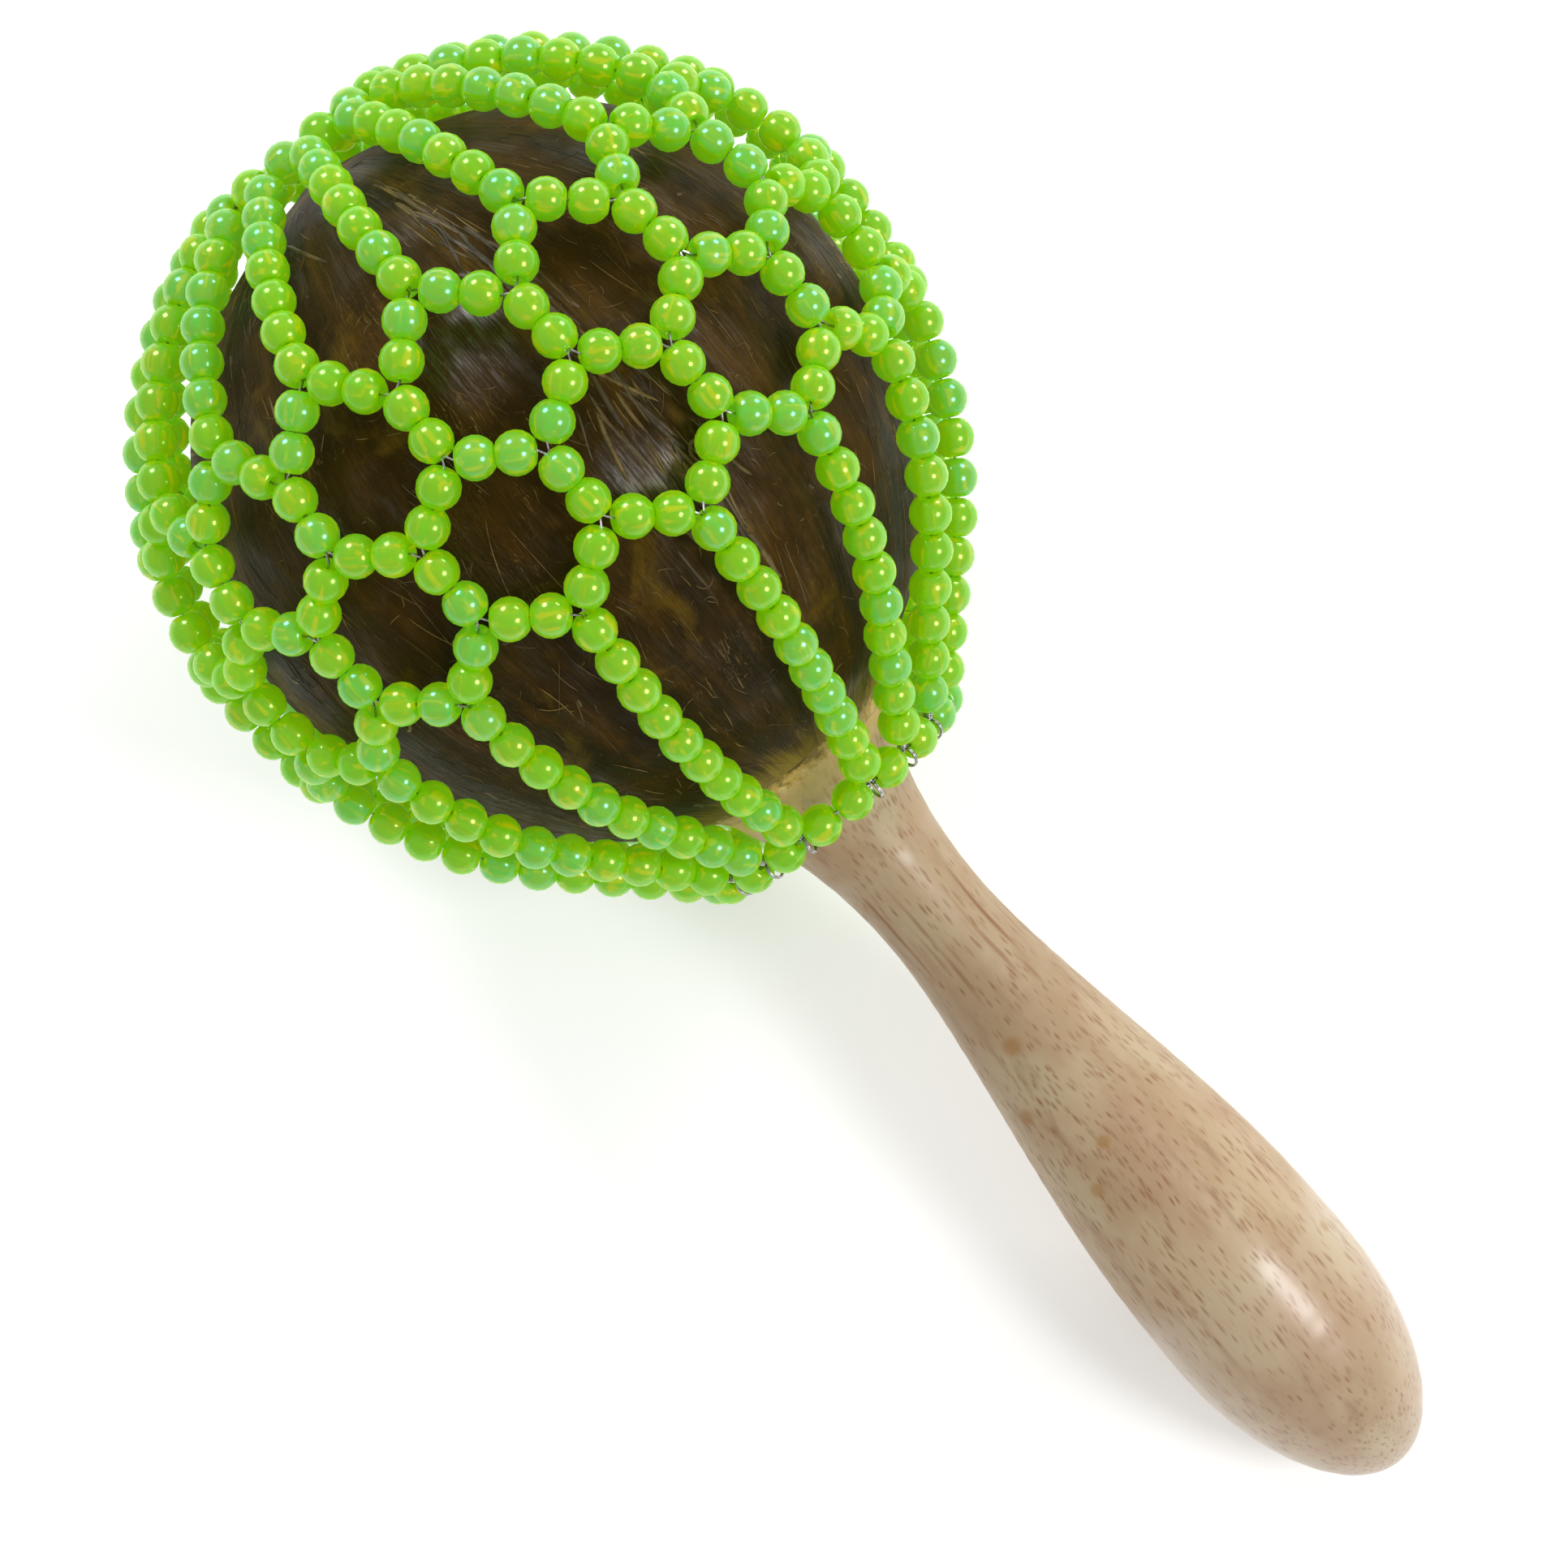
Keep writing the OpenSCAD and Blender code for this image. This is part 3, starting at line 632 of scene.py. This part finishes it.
def wound_eyelets():
    """The wire eyelets, one at the end of each strand, hung on the neck ring at its longitude."""
    ring_along, ring_radius, _ = off_instrument(node_points("neck_ring_wire"))
    ring = (ring_along.max() + ring_along.min()) / 2, (ring_radius.max() + ring_radius.min()) / 2
    path, turn_axis = eyelet_path()
    points, faces = [], []
    for strand in NECK_STRANDS:
        ends = np.array([bead_place(solid)[0] for solid in node_solids(strand)])
        along, _, longitude = off_instrument(ends)
        last = np.argmax(along)
        hung = on_instrument(*ring, longitude[last])
        away = unit(hung - ends[last])
        sideways = np.cos(longitude[last]) * SIDE - np.sin(longitude[last]) * UP
        sideways = unit(sideways - sideways @ away * away)
        basis = np.stack([sideways, np.cross(away, sideways), away])
        wire, wire_faces = tube(hung + path @ basis, turn_axis @ basis, EYELET_WIRE_RADIUS)
        first = len(points) * len(wire)
        points.append(wire)
        faces += [[corner + first for corner in face] for face in wire_faces]
    piece = finished("wound_eyelets", np.concatenate(points), faces, "net")
    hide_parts("wire_eyelets")
    return piece


# Materials

class Signal:
    """What one output of a node carries. Sums, differences and products of signals, and the functions
    below, put further nodes into the tree."""

    def __init__(self, socket):
        self.socket = socket
        self.tree = socket.id_data

    def other(self, output):
        """Another output of the same node."""
        return Signal(self.socket.node.outputs[output])

    def __add__(self, more):
        return maths("ADD", self, more)

    def __mul__(self, share):
        return maths("MULTIPLY", self, share)

    def __sub__(self, less):
        return maths("SUBTRACT", self, less)

    def __rsub__(self, whole):
        return maths("SUBTRACT", whole, self)

    __radd__, __rmul__ = __add__, __mul__


def node(tree, kind, sockets, **settings):
    """A new node with its settings. sockets maps an input to a value, or to the signal that feeds it."""
    made = tree.nodes.new("ShaderNode" + kind)
    for name, value in settings.items():
        setattr(made, name, value)
    for key, value in sockets.items():
        if isinstance(value, Signal):
            tree.links.new(value.socket, made.inputs[key])
        else:
            made.inputs[key].default_value = value
    return made


def signal(kind, sockets, output=0, **settings):
    """One output of a new node, which stands in the same tree as the signals that feed it."""
    tree = next(value.tree for value in sockets.values() if isinstance(value, Signal))
    return Signal(node(tree, kind, sockets, **settings).outputs[output])


def maths(operation, a, b=0.0, clamp=False):
    """a operation b."""
    return signal("Math", {0: a, 1: b}, operation=operation, use_clamp=clamp)


def larger(a, b):
    """The larger of a and b."""
    return maths("MAXIMUM", a, b)


def fade(value, low, high):
    """0 at low, 1 at high, smooth between."""
    sockets = {"Value": value, "From Min": low, "From Max": high}
    return signal("MapRange", sockets, interpolation_type="SMOOTHSTEP")


def rgb(red, green, blue):
    """Display colour out of 255 as a linear colour."""
    srgb = [part / 255 for part in (red, green, blue)]
    return (*[p / 12.92 if p <= 0.04045 else ((p + 0.055) / 1.055) ** 2.4 for p in srgb], 1.0)


def colours(share, a, b):
    """Colour a, turning to b as share goes from 0 to 1."""
    return signal("Mix", {0: share, 6: a, 7: b}, 2, data_type="RGBA")


def stretched(vector, scale):
    """A vector with its three parts scaled."""
    return signal("VectorMath", {0: vector, 1: scale}, operation="MULTIPLY")


def stirred(vector, swirl, reach):
    """A vector moved by the three parts of a swirl, each by up to the reach."""
    return signal("VectorMath", {0: swirl, 1: (reach,) * 3, 2: vector}, operation="MULTIPLY_ADD")


def clear_of(place, spot, core, size):
    """0 within the core of a spot, 1 beyond its size."""
    return fade(signal("VectorMath", {0: place, 1: spot}, "Value", operation="DISTANCE"), core, size)


def along_axis(place):
    """The part of a place that runs along the axis."""
    return signal("SeparateXYZ", {0: place})


def noise(vector, scale, detail=3.0, roughness=0.5, distortion=0.0, stretch=None, output="Fac"):
    """Noise of about 0.5, more or less, or in three parts as the output Color. The smaller a part of the
    stretch, the longer the noise runs that way."""
    sockets = {
        "Vector": stretched(vector, stretch) if stretch else vector,
        "Scale": scale, "Detail": detail, "Roughness": roughness, "Distortion": distortion,
    }
    return signal("TexNoise", sockets, output)


def stored(tree, name, output):
    """The attribute that a piece has stored at its vertices."""
    return Signal(node(tree, "Attribute", {}, attribute_name=name).outputs[output])


def instrument_place(tree):
    """Object coordinates turned into the instrument's frame."""
    coordinates = Signal(node(tree, "TexCoord", {}).outputs["Object"])
    sockets = {"Vector": coordinates, "Location": tuple(HEAD), "Rotation": (0.0, DIP, 0.0)}
    return signal("Mapping", sockets, vector_type="TEXTURE")


def bump(height, depth):
    """The normal of a surface whose height is given in shares of the depth."""
    return signal("Bump", {"Height": height, "Distance": depth, "Strength": 1.0})


def new_material(name):
    """A material with an empty tree, and the tree."""
    material = bpy.data.materials.new(name)
    material.use_nodes = True
    material.node_tree.nodes.clear()
    return material, material.node_tree


def principled(material, sockets):
    """Gives the material its Principled shader. sockets maps an input to a value that is the same all
    over, or to the signal that feeds it."""
    tree = material.node_tree
    output = tree.nodes.new("ShaderNodeOutputMaterial")
    tree.links.new(node(tree, "BsdfPrincipled", sockets).outputs[0], output.inputs[0])
    return material


def node_group(name, inputs, outputs, fill):
    """A shader node group. inputs maps a name to a number, or to None for a place. fill gets the signals of
    the inputs, and returns those that feed the outputs."""
    tree = bpy.data.node_groups.new(name, "ShaderNodeTree")
    for socket, value in inputs.items():
        kind = "NodeSocketVector" if value is None else "NodeSocketFloat"
        made = tree.interface.new_socket(socket, in_out="INPUT", socket_type=kind)
        if value is not None:
            made.default_value = value
    for socket in outputs:
        tree.interface.new_socket(socket, in_out="OUTPUT", socket_type="NodeSocketFloat")
    entry = tree.nodes.new("NodeGroupInput")
    leave = tree.nodes.new("NodeGroupOutput")
    for key, made in zip(outputs, fill(*[Signal(entry.outputs[socket]) for socket in inputs])):
        tree.links.new(made.socket, leave.inputs[key])
    return tree


def fill_flecks(place, length, width, amount):
    """Short flecks along X: one ellipsoid in each cell of a stretched cell pattern, kept where the cell's
    own random number is under the amount, and as strong as its second random number."""
    size = signal("CombineXYZ", {0: length, 1: width, 2: width})
    cells = signal("VectorMath", {0: place, 1: size}, operation="DIVIDE")
    distance = signal("TexVoronoi", {"Vector": cells, "Scale": 1.0, "Randomness": 1.0}, "Distance")
    chance = signal("SeparateColor", {0: distance.other("Color")})
    strength = 0.45 + chance.other(1) * 0.55
    return ((1.0 - fade(distance, 0.08, 0.38)) * strength * fade(amount - chance, 0.0, 0.25),)


def fill_hairlines(place, scale, width):
    """Thin lines along X, where stretched noise passes through its middle value, and that noise."""
    value = noise(place, scale, 4.0, 0.55, stretch=(0.07, 1.0, 1.0))
    return 1.0 - fade(maths("ABSOLUTE", value - 0.5), 0.0, width), value


def fill_mottle(place, scale):
    """Fine mottling from two sizes of noise, sharpened about its middle."""
    mixed = noise(place, scale, 4.0, 0.6) * 0.65 + noise(place, scale * 5.0, 3.0, 0.6) * 0.35
    return (fade(mixed, 0.38, 0.62),)


FLECKS = node_group(
    "flecks", {"Place": None, "Length": 0.006, "Width": 0.001, "Amount": 0.5}, ["Mask"], fill_flecks
)
HAIRLINES = node_group(
    "hairlines", {"Place": None, "Scale": 800.0, "Width": 0.02}, ["Mask", "Value"], fill_hairlines
)
MOTTLE = node_group("mottle", {"Place": None, "Scale": 60.0}, ["Mask"], fill_mottle)


def flecks(place, length, width, amount):
    """The group of flecks with its own values."""
    sockets = {"Place": place, "Length": length, "Width": width, "Amount": amount}
    return signal("Group", sockets, node_tree=FLECKS)


def hairlines(place, scale, width, output="Mask"):
    """The group of hairlines with its own values: the lines, or as Value the noise that draws them."""
    return signal("Group", {"Place": place, "Scale": scale, "Width": width}, output, node_tree=HAIRLINES)


def mottle(place, scale, stretch):
    """The group of mottling with its own values, drawn out by the stretch."""
    return signal("Group", {"Place": stretched(place, stretch), "Scale": scale}, node_tree=MOTTLE)


# Spots on the rind, along the axis, sideways and up, with their size: those that hands have rubbed to
# a shine, how much they shine, and the one that stayed dull
RUBBED = (
    ((-0.0195, 0.0010, 0.0473), 0.0095),
    ((0.0080, 0.0072, 0.0502), 0.0080),
)
RUBBED_GAIN = 4.0
DULL_SPOT, DULL_SIZE = (-0.0308, 0.0091, 0.0396), 0.0095
# Where the rind begins to be dusty, and is wholly so
DUST_REACH = (0.0490, 0.0545)
# Where the filler is as dark as the rind, golden, and as pale as the wood
SEAM_DARK_AT = 0.0540
SEAM_GOLDEN_AT = 0.0553
SEAM_PALE_AT = 0.0572
# Where the wood beside the filler, made paler with painted light, begins to end, and has ended
FLARE_PAINTED_LIGHT_REACH = (0.0615, 0.0690)
# Where the neck begins to be a little darker, and where its long streaks give way to the short pores of the
# grip
NECK_START = (0.066, 0.080)
NECK_END = (0.098, 0.112)
# Where the varnish begins to thicken on the grip, and its spot on the neck: middle and how it fades
VARNISH_GRIP = (0.149, 0.156)
VARNISH_SPOT = 0.0755
VARNISH_SPOT_FADE = (0.0005, 0.0045)
# Pores of the wood: how the grain is turned round so that each kind has its own pattern, length,
# width, then how many there are: of themselves, where they crowd, and on the neck, and how dark
PORES = (
    ((1.0, 1.0, 1.0), 0.0062, 0.00105, (0.0, 1.0, -0.4), 0.8),
    ((1.0, 1.0, -1.0), 0.0034, 0.00082, (0.6, 0.6, 0.0), 0.75),
    ((-1.0, 1.0, 1.0), 0.0046, 0.00098, (0.0, 0.9, 0.0), 0.65),
    ((1.0, -1.0, 1.0), 0.042, 0.0015, (0.0, 0.0, 0.75), 0.85),
)
# Small yellow-brown knots on the handle: along the axis, sideways, up, and size
KNOTS = (
    ((0.1255, -0.0029, 0.0129), 0.0015),
    ((0.1168, -0.0091, 0.0076), 0.0018),
    ((0.1308, -0.0081, 0.0115), 0.0017),
    ((0.1070, -0.0041, 0.0094), 0.0021),
    ((0.1576, 0.0138, 0.0088), 0.0014),
    ((0.1310, 0.0060, -0.0120), 0.0024),
)
# Painted glow of the neon plastic, partly its fluorescence and partly light that fills its shade, and the
# tint of the light that leaves at its rim
BEAD_PAINTED_GLOW = 0.5
BEAD_RIM = (0.3, 1.0, 0.01, 1.0)
# Film thickness in nanometres, the warm and cool tints painted along the bore as the film's reflections,
# and the tint of what it mirrors
BEAD_FILMS = (
    ("bead_plastic_aqua", 209.0, rgb(178, 182, 14), rgb(92, 166, 42), (0.9, 1.0, 0.75, 1.0)),
    ("bead_plastic_gold", 229.0, rgb(190, 176, 10), rgb(102, 166, 14), (1.0, 1.0, 0.4, 1.0)),
    ("bead_plastic_rose", 246.0, rgb(186, 174, 16), rgb(94, 166, 30), (1.0, 0.92, 0.6, 1.0)),
)


def coconut_rind_material():
    """Dark brown polished rind: clouds of umber and black, worn golden patches, fibres along the
    meridians and curled ones across them, splinter flecks, and fine scratches that catch the light."""
    material, tree = new_material("coconut_rind")
    place = instrument_place(tree)
    fibre = stored(tree, "fibre_place", "Vector")
    clouds = fade(noise(place, 42.0, 5.0, 0.6, 0.6), 0.36, 0.64)
    brown = colours(clouds, rgb(32, 20, 0), rgb(64, 43, 6))
    long_cloud = fade(noise(fibre, 150.0, 4.0, 0.6, 0.4, (0.35, 1.0, 1.0)), 0.45, 0.7)
    brown = colours(long_cloud * 0.55, brown, rgb(94, 60, 12))
    worn = fade(noise(place, 58.0, 5.0, 0.62, 0.9), 0.54, 0.70)
    brown = colours(worn * 0.6, brown, rgb(120, 90, 14))
    grain = mottle(fibre, 520.0, (0.3, 1.0, 1.0))
    brown = colours(grain * 0.4, brown, rgb(26, 18, 2))
    # The husk's seams left golden fibres on the ridges
    frayed = fade(noise(fibre, 700.0, 4.0, 0.6, 0.3, (0.1, 1.0, 1.0)), 0.42, 0.6)
    seam = stored(tree, "ridge", "Fac") * frayed * fade(clouds, 0.1, 0.9)
    brown = colours(seam * 0.8, brown, rgb(128, 96, 24))
    # Glue and wood dust feather out on the rind round the handle
    ragged = noise(fibre, 600.0, 4.0, 0.65, stretch=(0.2, 1.0, 1.0)) - 0.5
    dusty = fade(along_axis(fibre) + ragged * 0.010, *DUST_REACH)
    brown = colours(dusty * 0.85, brown, rgb(164, 134, 48))
    # Long fibres along the meridians and curled ones, each in patches, and splinters of both kinds
    swirl = noise(place, 70.0, output="Color")
    bent, curl = stirred(fibre, swirl, 0.005), stirred(place, swirl, 0.05)
    lengthwise = hairlines(bent, 520.0, 0.010) * fade(noise(place, 66.0), 0.5, 0.64)
    curl_patch = fade(noise(place, 74.0, stretch=(1.0, -1.0, 1.0)), 0.53, 0.64)
    fibres = larger(lengthwise, hairlines(curl, 330.0, 0.007) * curl_patch)
    splinters = larger(flecks(curl, 0.0045, 0.0009, 0.16) * 0.75, flecks(bent, 0.011, 0.0013, 0.07))
    golden = larger(fibres * 0.5, splinters * 0.7)
    tan = colours(fade(noise(place, 260.0), 0.4, 0.6), rgb(104, 70, 26), rgb(164, 130, 74))
    # Rubbed places have a thin polish, broken by the scratches
    scratches = hairlines(fibre, 2500.0, 0.05, "Value")
    rubbed = fade(noise(place, 50.0, 4.0, 0.6, 0.5, (1.0, 1.0, -1.0)), 0.42, 0.62)
    rubbed = rubbed * clear_of(place, DULL_SPOT, DULL_SIZE * 0.5, DULL_SIZE)
    for spot, size in RUBBED:
        rubbed = larger(rubbed, (1.0 - clear_of(place, spot, size * 0.4, size)) * RUBBED_GAIN)
    broken = 0.25 + fade(scratches, 0.44, 0.60) * 0.75
    return principled(material, {
        "Base Color": colours(golden, brown, tan),
        "Roughness": 0.42 + clouds * 0.2,
        "Specular IOR Level": 0.16, "Specular Tint": (1.0, 0.7, 0.35, 1.0),
        "Coat Weight": (0.02 + rubbed * 0.24) * broken * (1.0 - grain * 0.7),
        "Coat Roughness": 0.35, "Coat IOR": 2.0,
        "Normal": bump(scratches + grain * 0.3 + golden * 0.35, 0.32 * MM),
    })


def husk_fibre_material():
    """Dry golden-brown fibre, each thread its own shade, darker in patches where dirt has settled."""
    material, tree = new_material("husk_fibre")
    shade = colours(stored(tree, "fibre_tint", "Fac"), rgb(58, 41, 14), rgb(140, 110, 50))
    dirt = fade(noise(instrument_place(tree), 300.0, 4.0, 0.6), 0.42, 0.66)
    return principled(material, {
        "Base Color": colours(dirt * 0.8, shade, rgb(52, 36, 10)),
        "Roughness": 0.45 + dirt * 0.2,
        "Normal": bump(dirt, 0.05 * MM),
    })


def turned_wood_material():
    """Pale hardwood: cream and tan bands along the grain, short brown pores in crowds, longer streaks
    at the neck, small knots, and by the rim pale wood made paler with painted light against the shade of
    the beads, under thin satin varnish."""
    material, tree = new_material("turned_wood")
    place = instrument_place(tree)
    along = along_axis(place)
    grain = stirred(place, noise(place, 30.0, 2.0, output="Color"), 0.004)
    bands = fade(noise(grain, 95.0, 4.0, 0.55, 0.3, (0.55, 1.0, 1.0)), 0.36, 0.66)
    wood = colours(bands, rgb(175, 147, 113), rgb(187, 163, 130))
    pale = fade(noise(grain, 90.0, stretch=(0.8, 1.0, 1.0)), 0.48, 0.66)
    wood = colours(pale * 0.6, wood, rgb(190, 172, 138))
    blush = fade(noise(grain, 70.0, 4.0, stretch=(0.7, -1.0, 1.0)), 0.48, 0.66)
    wood = colours(blush * 0.45, wood, rgb(168, 130, 98))
    lines = hairlines(grain, 460.0, 0.05, "Value")
    wood = colours(fade(lines, 0.5, 0.85), wood, rgb(154, 122, 90))
    neck = 1.0 - fade(along, *NECK_END)
    wood = colours(neck * fade(along, *NECK_START) * 0.12, wood, rgb(146, 122, 96))
    crowd = fade(noise(grain, 75.0, stretch=(0.7, 1.0, 1.0)), 0.30, 0.56)
    pore = 0.0
    for turned, length, width, (some, crowded, on_neck), dark in PORES:
        amount = some + crowd * crowded + neck * on_neck
        pore = larger(pore, flecks(stretched(grain, turned), length, width, amount) * dark)
    wood = colours(pore, wood, rgb(140, 96, 58))
    for spot, size in KNOTS:
        knot = 1.0 - clear_of(place, spot, size * 0.3, size)
        wood = colours(knot * 0.6, wood, rgb(158, 112, 50))
    # Painted light: by the rim the wood turns almost white, partly the flare's pale wood, partly light
    # painted into the shade that the beads cast there
    flare_painted_light = 1.0 - fade(along + noise(grain, 200.0, 4.0, 0.6) * 0.010, *FLARE_PAINTED_LIGHT_REACH)
    # The varnish lies thick on the end of the grip and in one spot of the neck
    on_spot = 0.4 - fade(maths("ABSOLUTE", along - VARNISH_SPOT), *VARNISH_SPOT_FADE)
    thick = larger(fade(along, *VARNISH_GRIP), on_spot)
    return principled(material, {
        "Base Color": colours(flare_painted_light * 0.8, wood, rgb(252, 204, 142)),
        "Roughness": 0.36 + noise(place, 160.0) * 0.16,
        "Specular IOR Level": 0.3,
        "Coat Weight": maths("SUBTRACT", 0.1 + thick * 0.8, pore * 0.3, True),
        "Coat Roughness": 0.3, "Coat IOR": 1.6,
        "Normal": bump(lines * 0.3 - pore * 0.7, 0.08 * MM),
    })


def filler_material():
    """Yellow-brown glue and wood dust, matt and fibrous, dark where it feathers out on the shell."""
    material, tree = new_material("filler")
    place = instrument_place(tree)
    grain = mottle(place, 600.0, (0.4, 1.0, 1.0))
    feathered = noise(place, 700.0, 4.0, 0.65, stretch=(0.2, 1.0, 1.0)) - 0.5
    ragged = along_axis(place) + feathered * 0.009
    dust = colours(fade(ragged, SEAM_DARK_AT, SEAM_GOLDEN_AT), rgb(140, 110, 40), rgb(212, 170, 84))
    dust = colours(fade(ragged, SEAM_GOLDEN_AT, SEAM_PALE_AT), dust, rgb(236, 198, 140))
    return principled(material, {
        "Base Color": colours(grain * 0.3, dust, rgb(150, 112, 52)),
        "Roughness": 0.5 + grain * 0.2,
        "Normal": bump(grain, 0.15 * MM),
    })


def bead_material(name, film, warm, cool, mirrored):
    """Translucent neon-green plastic with a pearly film: faint warm and cool streaks run along the bore,
    painted reflections of the film, the warm ones partly the coated bore and its wire seen through; the
    plastic has a painted glow, partly its fluorescence and partly light that fills its shade; and the film
    tints what it mirrors. The sheen stands for light that has gathered inside a bead and leaves at its rim."""
    material, tree = new_material(name)
    drawn = stretched(stored(tree, "bead_place", "Vector"), (1.6, 1.6, 0.3))
    # Painted reflections: cool patches stand in for the film's coloured reflections, and warm streaks along
    # the bore for the film's reflections in the coated bore, partly the bore and its wire seen through
    cool_painted_reflection = fade(noise(drawn, 1.5, 3.0, 0.6, 0.5), 0.4, 0.65)
    streak = fade(noise(drawn, 1.7, 1.0, 0.4, 0.3), 0.54, 0.72)
    green = colours(stored(tree, "bead_tint", "Fac"), rgb(110, 160, 0), rgb(124, 165, 0))
    green = colours(streak * 0.55, colours(cool_painted_reflection * 0.8, green, cool), warm)
    # The emission is a painted glow: partly the neon plastic's fluorescence, partly light painted into the
    # beads' shade
    return principled(material, {
        "Base Color": green, "Emission Color": green, "Emission Strength": BEAD_PAINTED_GLOW,
        "Roughness": 0.18, "IOR": 1.5, "Specular Tint": mirrored,
        "Coat Weight": 0.18, "Coat Roughness": 0.4, "Coat Tint": (0.9, 1.0, 0.6, 1.0),
        "Subsurface Weight": 1.0, "Subsurface Radius": (0.5, 1.0, 0.1), "Subsurface Scale": 4 * MM,
        "Sheen Weight": 0.4, "Sheen Roughness": 0.35, "Sheen Tint": BEAD_RIM,
        "Thin Film Thickness": film, "Thin Film IOR": 1.75, "Transmission Weight": 0.35,
    })


def steel_material():
    """Bright drawn steel: fine marks vary its roughness and colour."""
    material, tree = new_material("drawn_steel")
    marks = noise(instrument_place(tree), 1400.0, 3.0, 0.6)
    return principled(material, {
        "Base Color": colours(fade(marks, 0.35, 0.7), rgb(150, 150, 146), rgb(214, 214, 210)),
        "Roughness": 0.16 + marks * 0.2,
        "Metallic": 1.0,
        "Normal": bump(marks, 0.01 * MM),
    })


def floor_material():
    """The plain pale floor."""
    material, _ = new_material("pale_floor")
    return principled(material, {
        "Base Color": (0.95, 0.95, 0.95, 1.0), "Roughness": 0.9,
        "Emission Color": (1.0, 1.0, 1.0, 1.0), "Emission Strength": FLOOR_GLOW,
    })


# The scene

def dress():
    """Makes every piece and gives each its material."""
    coconut().data.materials.append(coconut_rind_material())
    husk = husk_fibre_material()
    loose_fibres().data.materials.append(husk)
    seam_fibres().data.materials.append(husk)
    turned_handle().data.materials.append(turned_wood_material())
    filler_seam().data.materials.append(filler_material())
    plastics = [bead_material(*film) for film in BEAD_FILMS]
    for name in BEAD_NODES:
        piece = string_of_beads(name, "net")
        for plastic in plastics:
            piece.data.materials.append(plastic)
    steel = steel_material()
    wound_eyelets().data.materials.append(steel)
    for name in WIRE_NODES:
        slots = frame["nodes"][name].data.materials
        if len(slots):
            slots[0] = steel
        else:
            slots.append(steel)


def floor():
    """A wide flat sheet at the height that the instrument rests on."""
    mesh = bpy.data.meshes.new("pale_floor")
    corners = [(x * FLOOR_REACH, y * FLOOR_REACH, 0.0) for x, y in ((-1, -1), (1, -1), (1, 1), (-1, 1))]
    mesh.from_pydata(corners, [], [(0, 1, 2, 3)])
    sheet = bpy.data.objects.new("pale_floor", mesh)
    bpy.context.scene.collection.objects.link(sheet)
    mesh.materials.append(floor_material())


def camera():
    """The camera looks down on the instrument, turned so that the handle runs to the lower right."""
    data = bpy.data.cameras.new("camera")
    data.sensor_width = SENSOR_MM
    data.lens = CAMERA_LENS_MM
    stand = bpy.data.objects.new("camera", data)
    bpy.context.scene.collection.objects.link(stand)
    place = Vector(CAMERA_PLACE_MM) * MM
    forward = (Vector(CAMERA_AIM_MM) * MM - place).normalized()
    right = forward.cross(Vector(CAMERA_UP)).normalized()
    above = right.cross(forward)
    turn = Matrix((right, above, -forward)).transposed()
    stand.matrix_world = Matrix.Translation(place) @ turn.to_4x4()
    bpy.context.scene.camera = stand
    return right, above, -forward


def lights(right, above, back):
    """Square softboxes aimed at the middle of the instrument, and an even white surround."""
    middle = Vector((cad_low + cad_high) / 2)
    for name, (to_right, upwards, nearer), power in SOFTBOXES:
        data = bpy.data.lights.new(name, "AREA")
        data.shape = "SQUARE"
        data.size = BOX_SIZE
        data.energy = power
        box = bpy.data.objects.new(name, data)
        bpy.context.scene.collection.objects.link(box)
        direction = (right * to_right + above * upwards + back * nearer).normalized()
        box.location = middle + direction * BOX_DISTANCE
        box.rotation_mode = "QUATERNION"
        box.rotation_quaternion = direction.to_track_quat("Z", "Y")
    world = bpy.data.worlds.new("studio")
    world.use_nodes = True
    surround = world.node_tree.nodes["Background"].inputs
    surround["Color"].default_value = (1.0, 1.0, 1.0, 1.0)
    surround["Strength"].default_value = WORLD_STRENGTH
    bpy.context.scene.world = world


dress()
floor()
lights(*camera())
bpy.context.scene.view_settings.view_transform = "Standard"
